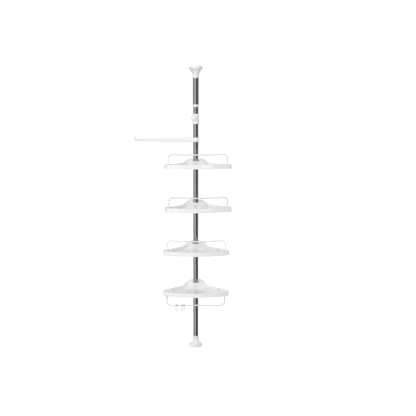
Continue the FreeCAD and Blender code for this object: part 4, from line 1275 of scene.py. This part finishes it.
# %% Reflection cards
CARD_FOOT, CARD_HEAD = -1.5, 3.0           # heights in metres, so that no end shows in the tubes
CARD_DISTANCE = 0.8
CARDS = {                                  # direction and width in degrees, and brightness
    "card_far_left": (-129, 90, 0.24), "card_left": (-60, 48, 0.58), "card_front": (-15, 42, 0.72),
    "card_flag": (31, 50, 0.01), "card_right": (82, 52, 0.25), "card_far_right": (119, 22, 0.03),
    "card_back_right": (150, 40, 0.5)}


def card(name, azimuth, width, grey):
    """Upright card seen only in reflections; azimuth 0 is in front of the object, +90 to its right."""
    a = math.radians(azimuth)
    out, side = Vector((math.sin(a), -math.cos(a), 0)), Vector((math.cos(a), math.sin(a), 0))
    centre, half = out * CARD_DISTANCE, math.tan(math.radians(width / 2)) * CARD_DISTANCE
    near, far = centre - side * half, centre + side * half
    foot, head = Vector((0, 0, CARD_FOOT)), Vector((0, 0, CARD_HEAD))
    piece = plane(name, [near + foot, far + foot, far + head, near + head])
    material, tree, shader = blank_material(name)
    tree.nodes.remove(shader)
    glow = add(tree, "ShaderNodeEmission", {"Color": (grey, grey, grey, 1.0), "Strength": 1.0})
    tree.links.new(glow.outputs[0], tree.nodes["Material Output"].inputs["Surface"])
    piece.data.materials.append(material)
    for kind in ("camera", "diffuse", "shadow", "transmission", "volume_scatter"):
        setattr(piece, "visible_" + kind, False)


for name, (azimuth, width, grey) in CARDS.items():
    card(name, azimuth, width, grey)
print(len(CARDS), "cards stand", CARD_DISTANCE, "m from the pole")

# %% Lamps
MIDDLE = Vector((0, 0, 0.75))              # the lamps point here
LAMPS = {                                  # place, width and height in metres, and power in watts
    "key_left": ((-2.5, -3.5, 1.8), 1.2, 3.4, 46),
    "side_left": ((-4.0, -0.8, 1.4), 1.4, 2.4, 34),
    "fill_front": ((1.6, -3.95, 2.1), 1.2, 2.8, 64),
    "back_high": ((0, 2.2, 4.5), 1.8, 1.8, 62),
    "low_strip": ((0.4, -2.8, 0.4), 2.4, 0.5, 6)}

for name, (where, width, height, watts) in LAMPS.items():
    light = bpy.data.lights.new(name, "AREA")
    light.shape, light.size, light.size_y, light.energy = "RECTANGLE", width, height, watts
    lamp = bpy.data.objects.new(name, light)
    lamp.location = where
    lamp.rotation_euler = (MIDDLE - Vector(where)).to_track_quat("-Z", "Y").to_euler()
    bpy.context.scene.collection.objects.link(lamp)
print(len(LAMPS), "lamps with", sum(lamp[-1] for lamp in LAMPS.values()), "watts in all")


# %% [markdown]
# ## Camera
#
# The camera stands above the middle of the unit and looks slightly down, so that the trays show their
# wells.

# %% Camera
LENS, SENSOR = 56.12, 36.0                 # millimetres
CAMERA_DISTANCE, CAMERA_HEIGHT = 3.2, 1.1215
CAMERA_PITCH = 7.35            # degrees downwards
SHIFT_X = 0.0293               # the pole stands a little left of the middle of the frame
camera = bpy.data.objects.new("camera", bpy.data.cameras.new("camera"))
camera.data.lens, camera.data.sensor_width = LENS, SENSOR
camera.data.shift_x = SHIFT_X
camera.location = (0, -CAMERA_DISTANCE, CAMERA_HEIGHT)
camera.rotation_euler = (math.radians(90 - CAMERA_PITCH), 0, 0)
bpy.context.scene.collection.objects.link(camera)
bpy.context.scene.camera = camera
bpy.context.scene.view_settings.view_transform = "Standard"
print("camera sees", round(math.degrees(camera.data.angle), 1), "degrees from", CAMERA_DISTANCE, "m away")
